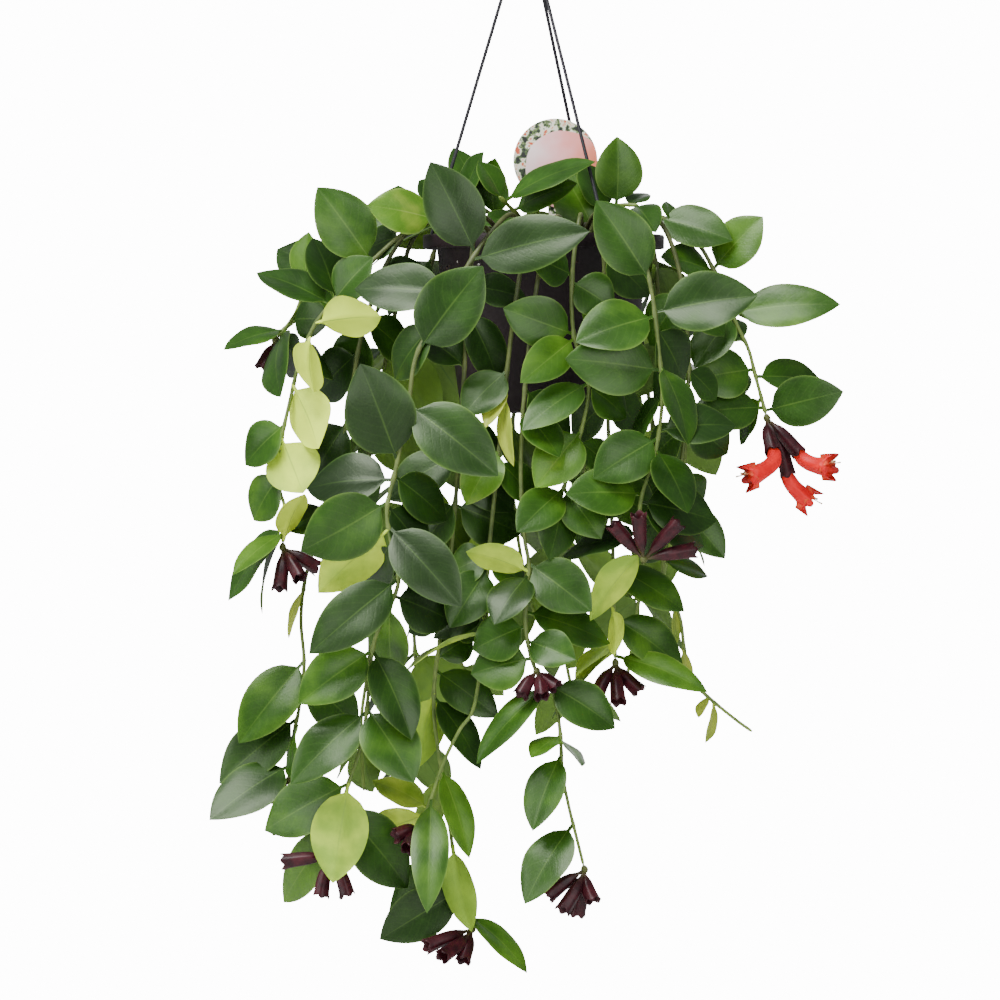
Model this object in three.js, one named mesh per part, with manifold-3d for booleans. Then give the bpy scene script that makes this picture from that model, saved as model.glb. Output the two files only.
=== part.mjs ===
// A lipstick plant, Aeschynanthus radicans, in a 15 cm hanging nursery pot.
// Millimetres, +Z up. The origin is where the hook bears on whatever carries it, inside the top of its bend.
//
// The pot hangs by three straight legs that clip through its rim and meet in the collar of a moulded hook.
// Twenty-three leafy stems stand in holes in the compost, arch over the rim and trail down. Each stem is
// fused with its leaves into one solid. The dark tubular calyces stand in eleven separate clusters, and from
// three calyces of one cluster comes a red corolla.
import * as THREE from "three";
import { mergeVertices } from "three/addons/utils/BufferGeometryUtils.js";
import Module from "manifold-3d";

const wasm = await Module();
wasm.setup();

// ---------------------------------------------------------------- driving dimensions

const CLEAR = 0.3; // gap between pieces that touch
const HOOK_HEIGHT = 36; // from the point where the legs would meet up to the bearing point of the hook

// Everything below is measured from the point where the three legs would meet.
const POT_X = 10.6; // the pot hangs a little to the right, because the long stems trail on the left
const RIM_Z = -198;
const RIM_RADIUS = 76;
const POT_HEIGHT = 112;
const POT_WALL = 1.6;
const POT_SIDES = 24;
const POT_TOP_RADIUS = 68; // outside of the wall just under the rim
const POT_FOOT_RADIUS = 52;
const RIM_THICKNESS = 2.2;
const RIM_LIP_HEIGHT = 9;
const RIM_LIP_WALL = 1.5;

const SOIL_EDGE_Z = -207;
const SOIL_CROWN_Z = -203;
const ROOT_DEPTH = 16; // how far a stem stands in the compost

const LEG_RADIUS = 1.1;
const LEG_RIM_RADIUS = 71; // circle of the three holes in the rim
const LEG_AZIMUTHS = [183, -57, 63]; // left, front right and back right, in degrees from +X
const LEG_STOP_RADIUS = 1.8;
const COLLAR_RADIUS = 8;
const COLLAR_TOP_Z = -4;
const COLLAR_BOTTOM_Z = -18;
const HOOK_ROD_RADIUS = 2.5;
const HOOK_INNER_RADIUS = 11;

const TAG_RADIUS = 26.5;
const TAG_THICKNESS = 0.9;
const TAG_CENTRE = [18, 8, -151];
const TAG_STAKE_Z = -226;

const STEM_ROOT_RADIUS = 1.8;
const STEM_HOLE_RADIUS = 3.1; // corner to centre of a four-sided hole
const STEM_TIP_RADIUS = 1.35;
const STEM_SIDES = 3;

const LEAF_RATIO = 0.6; // width over length of a whole leaf
const LEAF_KEEL = 1.4; // how far the midrib stands out below the blade
const LEAF_BOW = 0.05; // rise of the midrib over its chord, as a share of the length
const PETIOLE_HALF_WIDTH = 0.8;
const PETIOLE_ROOT_HALF_WIDTH = 0.45; // inside the stem

const CALYX_SIDES = 6;

// ---------------------------------------------------------------- vectors

const add = (a, b) => [a[0] + b[0], a[1] + b[1], a[2] + b[2]];
const sub = (a, b) => [a[0] - b[0], a[1] - b[1], a[2] - b[2]];
const mul = (a, k) => [a[0] * k, a[1] * k, a[2] * k];
const dot = (a, b) => a[0] * b[0] + a[1] * b[1] + a[2] * b[2];
const cross = (a, b) => [a[1] * b[2] - a[2] * b[1], a[2] * b[0] - a[0] * b[2], a[0] * b[1] - a[1] * b[0]];
const size = (a) => Math.sqrt(dot(a, a));
const unit = (a) => mul(a, 1 / size(a));
const radians = (degrees) => (degrees * Math.PI) / 180;
const vector = (a) => new THREE.Vector3(a[0], a[1], a[2]);

// Evenly spread numbers from 0 to 1 that are the same in every run.
function draws(seed) {
  let state = (seed * 2654435761 + 12345) >>> 0;
  return () => {
    state = (Math.imul(state, 1664525) + 1013904223) >>> 0;
    return state / 4294967296;
  };
}

// ---------------------------------------------------------------- solids

function solidOf(geometry) {
  const bare = geometry.clone();
  for (const name of Object.keys(bare.attributes)) if (name !== "position") bare.deleteAttribute(name);
  const merged = mergeVertices(bare, 1e-4);
  return new wasm.Manifold(
    new wasm.Mesh({
      numProp: 3,
      vertProperties: new Float32Array(merged.attributes.position.array),
      triVerts: new Uint32Array(merged.index.array),
    }),
  );
}

function geometryOf(solid) {
  const mesh = solid.getMesh();
  return new THREE.BufferGeometry()
    .setAttribute("position", new THREE.BufferAttribute(new Float32Array(mesh.vertProperties), 3))
    .setIndex(new THREE.BufferAttribute(new Uint32Array(mesh.triVerts), 1));
}

const joined = (solids) => solids.reduce((whole, next) => whole.add(next));

// A closed mesh of points and triangles, turned to face out.
function closedGeometry(points, triangles) {
  let volume = 0;
  for (const [a, b, c] of triangles) volume += dot(points[a], cross(points[b], points[c]));
  const faces = volume < 0 ? triangles.map(([a, b, c]) => [a, c, b]) : triangles;
  const geometry = new THREE.BufferGeometry();
  geometry.setAttribute("position", new THREE.BufferAttribute(new Float32Array(points.flat()), 3));
  geometry.setIndex(faces.flat());
  return geometry;
}

// Rings of equal length joined into one skin. Each end is a fan round its centre point.
function loft(rings, startCentre, endCentre) {
  const n = rings[0].length;
  const points = rings.flat();
  const triangles = [];
  for (let r = 0; r + 1 < rings.length; r += 1) {
    for (let k = 0; k < n; k += 1) {
      const [a, b] = [r * n + k, r * n + ((k + 1) % n)];
      triangles.push([a, b, b + n], [a, b + n, a + n]);
    }
  }
  const start = points.push(startCentre) - 1;
  const end = points.push(endCentre) - 1;
  const last = (rings.length - 1) * n;
  for (let k = 0; k < n; k += 1) {
    triangles.push([start, (k + 1) % n, k], [end, last + k, last + ((k + 1) % n)]);
  }
  return { points, triangles };
}

const loftSolid = (rings, start, end) => {
  const { points, triangles } = loft(rings, start, end);
  return solidOf(closedGeometry(points, triangles));
};

// Two unit vectors square to a direction and to each other.
function acrossTo(direction, hint = [0, 1, 0]) {
  const first = unit(sub(hint, mul(direction, dot(hint, direction))));
  return [first, cross(direction, first)];
}

function ring(centre, direction, radius, sides, hint, stretch = () => 0) {
  const [first, second] = acrossTo(direction, hint);
  return Array.from({ length: sides }, (_, k) => {
    const turn = (2 * Math.PI * (k + 0.5)) / sides;
    const out = add(mul(first, radius * Math.cos(turn)), mul(second, radius * Math.sin(turn)));
    return add(add(centre, out), mul(direction, stretch(k)));
  });
}

// A tube through points, with a radius at each and its own number of sides.
function tube(points, radii, sides, hint = [0.3, 1, 0.2]) {
  const rings = points.map((p, i) => {
    const before = points[Math.max(0, i - 1)];
    const after = points[Math.min(points.length - 1, i + 1)];
    return ring(p, unit(sub(after, before)), radii[i], sides, hint);
  });
  return loft(rings, points[0], points[points.length - 1]);
}

const tubeSolid = (points, radii, sides, hint) => {
  const { points: p, triangles } = tube(points, radii, sides, hint);
  return solidOf(closedGeometry(p, triangles));
};

function lathe(profile, sides) {
  const geometry = new THREE.LatheGeometry(
    profile.map(([r, z]) => new THREE.Vector2(r, z)),
    sides,
  );
  geometry.rotateX(Math.PI / 2);
  return solidOf(geometry);
}

// ---------------------------------------------------------------- pot and compost

const FLOOR_Z = RIM_Z - POT_HEIGHT;
const wallRadius = (z) =>
  POT_FOOT_RADIUS + ((POT_TOP_RADIUS - POT_FOOT_RADIUS) * (z - FLOOR_Z)) / POT_HEIGHT;

const legFoot = (azimuth) => [
  POT_X + LEG_RIM_RADIUS * Math.cos(radians(azimuth)),
  LEG_RIM_RADIUS * Math.sin(radians(azimuth)),
  RIM_Z - RIM_THICKNESS / 2,
];
const LEG_TOP_Z = COLLAR_BOTTOM_Z + 8;
const legHead = (azimuth) => {
  const foot = legFoot(azimuth);
  const out = unit([foot[0], foot[1], 0]);
  return [out[0] * 4.2, out[1] * 4.2, LEG_TOP_Z];
};
const legDirection = (azimuth) => unit(sub(legFoot(azimuth), legHead(azimuth)));

function pot() {
  const inner = (z) => wallRadius(z) - POT_WALL;
  const lip = RIM_RADIUS - RIM_LIP_WALL;
  const body = lathe(
    [
      [0, FLOOR_Z],
      [POT_FOOT_RADIUS, FLOOR_Z],
      [POT_TOP_RADIUS, RIM_Z - RIM_THICKNESS],
      [lip, RIM_Z - RIM_THICKNESS],
      [lip, RIM_Z - RIM_LIP_HEIGHT],
      [RIM_RADIUS, RIM_Z - RIM_LIP_HEIGHT],
      [RIM_RADIUS, RIM_Z],
      [inner(RIM_Z), RIM_Z],
      [inner(FLOOR_Z + POT_WALL), FLOOR_Z + POT_WALL],
      [0, FLOOR_Z + POT_WALL],
    ],
    POT_SIDES,
  );
  const legHoles = LEG_AZIMUTHS.map((azimuth) => {
    const foot = legFoot(azimuth);
    const along = mul(legDirection(azimuth), 6);
    return tubeSolid([sub(foot, along), add(foot, along)], [LEG_RADIUS + 0.4, LEG_RADIUS + 0.4], 8);
  });
  const drains = [0, 72, 144, 216, 288].map((azimuth) => {
    const x = 34 * Math.cos(radians(azimuth));
    const y = 34 * Math.sin(radians(azimuth));
    return tubeSolid([[x, y, FLOOR_Z - 2], [x, y, FLOOR_Z + 4]], [3, 3], 6);
  });
  const shifted = body.translate([POT_X, 0, 0]);
  return drains
    .map((d) => d.translate([POT_X, 0, 0]))
    .concat(legHoles)
    .reduce((whole, hole) => whole.subtract(hole), shifted);
}

function soil(stems) {
  const inner = (z) => wallRadius(z) - POT_WALL - CLEAR;
  const bottom = FLOOR_Z + POT_WALL + CLEAR;
  const body = lathe(
    [
      [0, bottom],
      [inner(bottom), bottom],
      [inner(SOIL_EDGE_Z), SOIL_EDGE_Z],
      [inner(SOIL_EDGE_Z) * 0.6, SOIL_CROWN_Z - 0.8],
      [0, SOIL_CROWN_Z],
    ],
    POT_SIDES,
  ).translate([POT_X, 0, 0]);
  const holes = stems.map(({ route }) => {
    const [x, y, z] = route[0];
    const low = [x, y, z - CLEAR];
    const high = [x, y, SOIL_CROWN_Z + 8];
    return tubeSolid([low, high], [STEM_HOLE_RADIUS, STEM_HOLE_RADIUS], 4);
  });
  const [tx, ty] = TAG_CENTRE;
  const slot = solidOf(new THREE.BoxGeometry(9, TAG_THICKNESS + 0.8, 40).translate(tx, ty, -212));
  return holes.concat([slot]).reduce((whole, hole) => whole.subtract(hole), body);
}

// ---------------------------------------------------------------- hanger and tag

function hook() {
  const collar = lathe(
    [
      [0, COLLAR_BOTTOM_Z],
      [COLLAR_RADIUS, COLLAR_BOTTOM_Z],
      [COLLAR_RADIUS, COLLAR_TOP_Z - 5],
      [HOOK_ROD_RADIUS + 1.5, COLLAR_TOP_Z],
      [0, COLLAR_TOP_Z],
    ],
    14,
  );
  const bend = HOOK_INNER_RADIUS + HOOK_ROD_RADIUS;
  const centreZ = HOOK_HEIGHT - HOOK_INNER_RADIUS;
  const line = [
    [0, 0, COLLAR_TOP_Z - 3],
    [0, 0, 2],
    [3, 0, 7],
    [8.5, 0, 12],
  ];
  for (let degrees = -25; degrees <= 185; degrees += 21) {
    line.push([bend * Math.cos(radians(degrees)), 0, centreZ + bend * Math.sin(radians(degrees))]);
  }
  line.push([-bend - 2.5, 0, centreZ - 6]);
  const radii = line.map(() => HOOK_ROD_RADIUS);
  const rod = tubeSolid(line, radii, 7, [0, 1, 0]);
  const sockets = LEG_AZIMUTHS.map((azimuth) => {
    const head = legHead(azimuth);
    const up = mul(legDirection(azimuth), -CLEAR);
    const down = mul(legDirection(azimuth), 12);
    return tubeSolid([add(head, up), add(head, down)], [LEG_RADIUS + CLEAR, LEG_RADIUS + CLEAR], 8);
  });
  return sockets.reduce((whole, socket) => whole.subtract(socket), collar.add(rod));
}

function leg(azimuth) {
  const head = legHead(azimuth);
  const along = legDirection(azimuth);
  const foot = legFoot(azimuth);
  const stop = add(foot, mul(along, RIM_THICKNESS / 2 + LEG_STOP_RADIUS + 0.8));
  const strand = tubeSolid([head, stop], [LEG_RADIUS, LEG_RADIUS], 6);
  const knob = solidOf(new THREE.IcosahedronGeometry(LEG_STOP_RADIUS, 1).translate(...stop));
  return strand.add(knob);
}

function tag() {
  const [x, y, z] = TAG_CENTRE;
  const disc = new THREE.CylinderGeometry(TAG_RADIUS, TAG_RADIUS, TAG_THICKNESS, 32);
  const low = TAG_STAKE_Z - z;
  const shape = new THREE.Shape([
    new THREE.Vector2(-5, -TAG_RADIUS + 3),
    new THREE.Vector2(-3, low + 8),
    new THREE.Vector2(0, low),
    new THREE.Vector2(3, low + 8),
    new THREE.Vector2(5, -TAG_RADIUS + 3),
  ]);
  const stake = new THREE.ExtrudeGeometry(shape, { depth: TAG_THICKNESS, bevelEnabled: false });
  stake.translate(0, 0, -TAG_THICKNESS / 2).rotateX(Math.PI / 2);
  return solidOf(disc).add(solidOf(stake)).translate([x, y, z]);
}

// ---------------------------------------------------------------- stems and leaves placed one by one

// A route is a list of points from the foot in the compost to the tip. A leaf is a row of
// [base x, base z, tip x, tip z, lean, turn, width]: where it leaves the stem and where it ends in the front
// view, how far its tip stands behind its base (negative is towards the front), how far its face is turned up
// from facing the front, in degrees (past 90 the pale underside shows), and its full width.
const VINES = {
  vine_left_front: {
    route: [
      [-22, -16, -219], [-22, -16, -199], [-40, -25, -186], [-72, -32, -195], [-96, -34, -214],
      [-121, -34, -240], [-134, -33, -257], [-143, -32, -280], [-148, -32, -300], [-154, -32, -329],
      [-155, -33, -357], [-152, -34, -370], [-153, -35, -392],
    ],
    leaves: [
      [-97, -215, -131, -169, -8, 8, 37], [-78, -200, -102, -208, 14, 30, 24],
      [-119, -239, -134, -200, 16, 35, 32], [-121, -240, -97, -213, -14, 30, 29],
      [-122, -241, -170, -222, 22, 50, 30], [-131, -254, -91, -250, -22, 150, 30],
      [-138, -262, -134, -298, -26, 130, 28], [-142, -274, -122, -286, 30, 60, 26],
      [-147, -293, -130, -333, -20, 140, 36],
      [-153, -326, -140, -361, -14, 150, 36], [-150, -318, -177, -343, 12, 20, 33],
      [-155, -350, -172, -378, 18, 35, 30], [-153, -390, -140, -360, -12, 138, 21],
      [-153, -384, -184, -411, -26, 50, 20], [-153, -380, -188, -428, 14, 20, 35],
      [-153, -382, -170, -436, 42, 60, 24], [-152, -384, -124, -371, 24, 40, 28],
      [-56, -190, -100, -180, -12, 20, 30],
    ],
  },
  vine_left_back: {
    route: [
      [-28, 16, -219], [-28, 16, -199], [-58, 22, -184], [-90, 24, -200], [-125, 22, -224],
      [-139, 20, -232], [-147, 18, -249], [-157, 16, -262],
    ],
    leaves: [
      [-90, -200, -82, -165, 22, 35, 34], [-104, -209, -126, -180, 26, 40, 32],
      [-139, -232, -138, -196, -8, 40, 26], [-124, -224, -158, -206, 14, 50, 34],
      [-126, -226, -112, -262, -12, 30, 33], [-153, -257, -191, -269, -18, 35, 22],
      [-156, -259, -130, -240, 26, 100, 26], [-149, -251, -124, -251, 20, 30, 26],
      [-156, -261, -145, -286, 22, 25, 24], [-153, -257, -157, -299, -18, 60, 32],
    ],
  },
  vine_left_low: {
    route: [
      [-30, -2, -219], [-30, -2, -199], [-62, -14, -188], [-86, -14, -212], [-104, -12, -262],
      [-114, -10, -320], [-128, -8, -375], [-139, -10, -413], [-142, -14, -440], [-140, -16, -468],
      [-143, -18, -495], [-147, -18, -515], [-149, -18, -538],
    ],
    leaves: [
      [-100, -250, -72, -278, 16, 40, 30], [-103, -258, -112, -292, 32, 50, 32],
      [-112, -310, -86, -330, 26, 60, 34], [-106, -272, -133, -300, 14, 30, 34],
      [-113, -315, -135, -352, 10, 25, 34], [-118, -335, -96, -372, 18, 30, 32],
      [-128, -375, -112, -408, 28, 40, 30], [-140, -420, -150, -452, -6, 72, 16],
      [-140, -466, -181, -517, -12, 12, 34],
      [-141, -478, -106, -508, 20, 20, 34], [-144, -503, -194, -543, 10, 20, 34],
      [-144, -506, -146, -540, -24, 75, 28], [-148, -531, -199, -565, -14, 12, 36],
      [-148, -532, -132, -566, 18, 40, 28], [-92, -228, -63, -219, 4, 20, 25],
    ],
  },
  vine_front_long: {
    route: [
      [-2, -46, -219], [-2, -46, -199], [-10, -80, -187], [-22, -98, -198], [-36, -108, -218],
      [-55, -112, -250], [-69, -114, -276], [-74, -116, -308], [-81, -118, -343], [-87, -118, -370],
      [-85, -118, -388], [-80, -116, -416], [-90, -113, -440], [-96, -111, -458], [-100, -109, -498],
      [-104, -107, -520], [-111, -105, -541], [-119, -103, -570], [-121, -101, -584],
    ],
    leaves: [
      [-32, -212, -60, -155, -6, 6, 37], [-34, -216, 38, -198, -20, 18, 37],
      [-67, -273, -28, -220, -12, 12, 42], [-74, -306, -18, -350, -16, 14, 40],
      [-80, -341, -103, -281, -18, 8, 45], [-84, -352, -138, -357, 24, 35, 38],
      [-86, -366, -140, -397, -6, 10, 42], [-86, -382, -130, -422, 12, 140, 34],
      [-84, -380, -41, -431, -16, 12, 36], [-87, -368, -62, -402, 22, 35, 32],
      [-80, -414, -135, -460, -20, 12, 34], [-82, -424, -47, -440, 18, 20, 35],
      [-96, -458, -142, -491, -10, 15, 34], [-95, -457, -71, -513, -14, 25, 32],
      [-100, -496, -147, -541, -8, 25, 33], [-100, -494, -70, -540, -16, 18, 37],
      [-110, -540, -121, -603, -10, 172, 36], [-111, -541, -164, -571, 22, 18, 36],
      [-118, -569, -153, -617, 26, 30, 29], [-113, -556, -74, -607, 16, 20, 38],
      [-47, -236, -108, -233, 20, 25, 34], [-58, -256, -84, -290, 20, 40, 32],
      [-84, -350, -50, -378, 26, 30, 30], [-85, -430, -84, -474, 26, 25, 28],
      [-84, -392, -104, -424, 36, 35, 28],
    ],
  },
  vine_front_low_left: {
    route: [
      [-17, -40, -219], [-17, -40, -199], [-30, -84, -190], [-36, -92, -230], [-40, -90, -300],
      [-45, -84, -370], [-51, -80, -430], [-57, -79, -471], [-58, -79, -500], [-54, -79, -530],
      [-48, -79, -571], [-44, -80, -595], [-35, -80, -630],
    ],
    leaves: [
      [-36, -232, 0, -239, 8, 30, 24], [-38, -248, -17, -292, 10, 25, 28],
      [-39, -282, -66, -262, 10, 40, 30], [-41, -310, -70, -330, 14, 35, 30],
      [-41, -316, -20, -348, 12, 30, 28], [-45, -365, -66, -398, 14, 40, 30],
      [-46, -368, -4, -386, 14, 15, 36], [-50, -425, -74, -448, 16, 35, 30],
      [-52, -435, -26, -447, 14, 30, 30], [-57, -472, -18, -500, -10, 35, 26],
      [-58, -486, -69, -532, 10, 160, 28], [-58, -488, -28, -532, -14, 60, 24],
      [-54, -528, -82, -524, 18, 80, 26], [-51, -532, -36, -588, -12, 30, 21],
      [-53, -536, -62, -576, 20, 135, 26], [-48, -580, -35, -634, -16, 150, 23],
      [-44, -588, -87, -626, 24, 35, 30], [-38, -623, 1, -658, -12, 30, 22],
      [-40, -608, -92, -639, 6, 20, 32], [-43, -336, -88, -364, 8, 30, 32],
      [-44, -340, -8, -372, 14, 35, 30], [-57, -464, -34, -449, 10, 30, 24],
    ],
  },
  vine_front_low_inner: {
    route: [
      [12, -52, -219], [12, -52, -199], [6, -84, -189], [-4, -94, -222], [-12, -96, -280],
      [-18, -94, -340], [-24, -93, -400], [-27, -93, -450], [-33, -94, -493], [-42, -95, -508],
      [-52, -96, -528], [-59, -96, -548], [-65, -95, -566],
    ],
    leaves: [
      [-12, -284, -40, -312, -8, 30, 30], [-13, -293, -26, -320, -12, 60, 16],
      [-14, -300, -10, -344, -16, 55, 16], [-17, -334, -38, -368, -12, 25, 28],
      [-18, -340, 6, -368, -10, 40, 28], [-24, -396, -2, -420, 10, 40, 28],
      [-24, -400, -48, -410, 14, 30, 28], [-25, -408, -48, -444, -8, 30, 30],
      [-27, -446, -77, -470, -16, 68, 34], [-28, -455, -4, -470, 16, 40, 28],
      [-60, -551, -62, -620, -24, 20, 24],
      [-62, -556, -96, -539, 6, 55, 30], [-63, -560, -99, -577, 16, 140, 28],
      [-26, -436, -74, -457, -2, 20, 32],
    ],
  },
  vine_front_centre: {
    route: [
      [24, -46, -219], [24, -46, -199], [18, -86, -189], [8, -102, -220], [0, -106, -280],
      [-4, -106, -340], [-2, -107, -385], [1, -108, -407], [-1, -110, -443], [5, -111, -470],
      [15, -112, -482], [20, -112, -505], [22, -111, -535], [26, -110, -556], [30, -108, -572],
      [35, -106, -592],
    ],
    leaves: [
      [-1, -296, 27, -330, 14, 35, 30], [-2, -310, 20, -338, -10, 40, 28],
      [-3, -362, 22, -392, 10, 45, 28], [1, -408, -38, -396, -10, 140, 24],
      [1, -405, 40, -434, -12, 12, 34], [1, -410, -21, -441, -20, 35, 30],
      [-1, -442, -34, -458, 12, 20, 32], [3, -463, -35, -473, 4, 20, 34],
      [0, -452, 30, -464, -16, 15, 26], [0, -434, 52, -454, 16, 40, 30],
      [12, -480, -33, -527, -14, 48, 25], [14, -481, 55, -506, -10, 25, 31],
      [20, -512, 2, -524, -14, 60, 22], [20, -513, 34, -530, -16, 55, 22],
      [21, -522, 3, -570, -10, 35, 29], [29, -566, -2, -615, -12, 34, 32],
    ],
  },
  vine_front_short: {
    route: [
      [34, -42, -219], [34, -42, -199], [33, -84, -188], [28, -98, -225], [29, -102, -262],
      [38, -104, -292], [34, -104, -320], [22, -102, -360],
    ],
    leaves: [
      [28, -226, 2, -214, -14, 50, 28], [28, -230, 54, -246, 10, 40, 30],
      [29, -261, -15, -246, -12, 22, 32], [29, -264, -4, -292, -16, 25, 26],
      [38, -292, -3, -321, -16, 30, 26], [37, -294, 62, -314, 8, 40, 30], [33, -322, 5, -357, -14, 8, 32],
      [31, -328, 58, -352, 6, 40, 28], [23, -357, 46, -389, -10, 15, 28],
      [23, -357, -6, -384, 14, 35, 28], [22, -359, 14, -402, 6, 30, 30],
      [24, -350, 60, -374, 16, 30, 28],
    ],
  },
  vine_right_front: {
    route: [
      [48, -36, -219], [48, -36, -199], [64, -74, -188], [72, -102, -212], [78, -108, -240],
      [82, -110, -275], [84, -111, -300], [80, -111, -333], [71, -110, -363], [70, -109, -378],
      [71, -110, -393], [72, -114, -399.5],
    ],
    leaves: [
      [76, -229, 43, -179, -8, 14, 36], [78, -248, 143, -238, -8, 20, 39],
      [79, -251, 30, -267, -18, 30, 38], [83, -284, 24, -277, -14, 10, 40],
      [82, -280, 101, -330, -16, 55, 33], [80, -258, 98, -292, 22, 35, 32],
      [83, -300, 64, -332, 16, 45, 28], [81, -326, 41, -351, -12, 12, 34],
      [82, -322, 130, -318, -12, 45, 36], [80, -332, 100, -373, -14, 45, 34],
      [71, -361, 24, -361, -16, 28, 34], [71, -366, 118, -378, 18, 22, 34],
      [71, -370, 112, -393, 28, 40, 32], [71, -384, 22, -400, 14, 62, 32],
      [71, -396, 38, -439, 4, 145, 25],
    ],
  },
  vine_right_far: {
    route: [
      [50, -8, -219], [50, -8, -199], [80, -15, -187], [104, -19, -200], [118, -20, -222],
      [131, -21, -253], [139, -22, -270], [143, -22, -285], [147, -22, -300], [150, -22, -311],
    ],
    leaves: [
      [82, -189, 129, -202, -14, 26, 30], [92, -193, 88, -177, 8, 50, 16],
      [117, -221, 148, -187, -6, 25, 32], [118, -223, 84, -212, -16, 30, 32],
      [129, -248, 196, -241, -12, 25, 30], [130, -250, 105, -282, -20, 30, 28],
      [142, -282, 105, -289, -16, 12, 33], [136, -265, 116, -254, 20, 40, 26],
      [144, -287, 188, -291, 18, 40, 28], [149, -308, 198, -297, -4, 25, 32],
      [148, -308, 102, -311, -16, 25, 30], [147, -301, 133, -330, 16, 40, 26],
    ],
  },
  vine_right_low: {
    route: [
      [54, -24, -219], [54, -24, -199], [80, -42, -188], [96, -50, -225], [101, -54, -290],
      [94, -52, -360], [85, -50, -408], [90, -49, -424], [96, -48, -440], [99, -47, -462],
      [104, -46, -478], [113, -45, -488], [130, -44, -502], [141, -44, -510],
    ],
    leaves: [
      [97, -235, 124, -262, 10, 40, 30], [98, -236, 76, -268, 16, 35, 32],
      [101, -284, 119, -302, 18, 40, 24], [100, -276, 79, -306, 16, 40, 28],
      [95, -348, 106, -374, 14, 35, 30], [93, -368, 124, -401, -6, 20, 26],
      [92, -372, 72, -404, 24, 40, 28], [87, -404, 114, -412, 14, 50, 18],
      [93, -430, 92, -458, -8, 66, 14], [99, -458, 100, -482, -8, 60, 13],
      [113, -487, 107, -501, -6, 55, 11], [118, -491, 112, -517, -8, 62, 13],
      [97, -314, 126, -336, 14, 35, 30], [97, -318, 74, -344, 18, 40, 30],
      [95, -344, 62, -376, 22, 30, 30],
    ],
  },
  vine_centre_low: {
    route: [
      [36, -30, -219], [36, -30, -199], [45, -82, -188], [49, -88, -240], [50, -86, -300],
      [52, -81, -360], [54, -77, -410], [54, -76, -440], [55, -75, -464],
    ],
    leaves: [
      [49, -212, 76, -238, 6, 30, 32], [49, -224, 34, -256, 4, 70, 20], [50, -296, 70, -322, 12, 40, 30],
      [50, -302, 28, -328, 16, 40, 30], [52, -352, 78, -380, 14, 40, 30],
      [52, -360, 30, -392, 16, 35, 28], [54, -432, 54, -462, -22, 130, 16],
      [54, -406, 98, -434, -10, 35, 28], [54, -438, 98, -470, 8, 28, 30],
      [55, -462, 112, -483, -6, 40, 24], [54, -452, 30, -478, 14, 120, 24],
      [55, -458, 15, -502, -10, 82, 26],
    ],
  },
  shoot_top_left: {
    route: [
      [-14, 2, -219], [-14, 2, -198], [-24, 0, -184], [-40, -4, -178], [-56, -14, -176],
    ],
    leaves: [
      [-22, -187, -20, -150, -14, 40, 28], [-28, -182, -46, -142, 8, 35, 28],
      [-40, -178, -28, -146, 16, 60, 26], [-54, -176, -68, -164, 10, 40, 22],
    ],
  },
  shoot_top_centre: {
    route: [
      [2, -16, -219], [2, -16, -198], [-4, -24, -188], [-11, -32, -181], [-17, -40, -175],
    ],
    leaves: [
      [-6, -186, -36, -196, -14, 50, 28], [-9, -183, 31, -166, -14, 45, 26],
      [-15, -177, 42, -152, -8, 58, 28], [-16, -176, -30, -152, 4, 50, 24],
    ],
  },
  shoot_top_right: {
    route: [
      [40, -14, -219], [40, -14, -198], [46, -17, -186], [58, -22, -180], [70, -26, -180],
    ],
    leaves: [
      [41, -194, 22, -158, 4, 22, 36], [47, -185, 36, -152, 16, 40, 28], [56, -181, 57, -137, -6, 20, 32],
      [64, -181, 76, -172, 16, 50, 16], [69, -180, 80, -196, -10, 40, 22],
    ],
  },
};

// ---------------------------------------------------------------- stems grown by rule at the sides and back

// Azimuth over the rim, radius of the foot in the compost, lowest point, greatest reach and seed.
const GROWN = {
  vine_side_right: [12, 34, -320, 118, 1],
  vine_back_1: [43, 30, -410, 116, 2],
  vine_back_2: [56, 30, -475, 124, 3],
  vine_back_3: [78, 42, -500, 130, 4],
  vine_back_4: [96, 32, -436, 124, 5],
  vine_back_5: [120, 43, -486, 134, 6],
  vine_back_6: [136, 31, -520, 126, 7],
  vine_back_7: [153, 40, -545, 130, 8],
};
const PAIR_SPACING = 53;

const aroundPot = (azimuth, radius, z) => [
  POT_X + radius * Math.cos(radians(azimuth)),
  radius * Math.sin(radians(azimuth)),
  z,
];

function pointAlong(route, distance) {
  let left = distance;
  for (let i = 0; i + 1 < route.length; i += 1) {
    const step = sub(route[i + 1], route[i]);
    const length = size(step);
    if (left <= length || i + 2 === route.length) return add(route[i], mul(step, Math.min(1, left / length)));
    left -= length;
  }
  return route[route.length - 1];
}
const routeLength = (route) =>
  route.slice(1).reduce((sum, point, i) => sum + size(sub(point, route[i])), 0);

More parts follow.
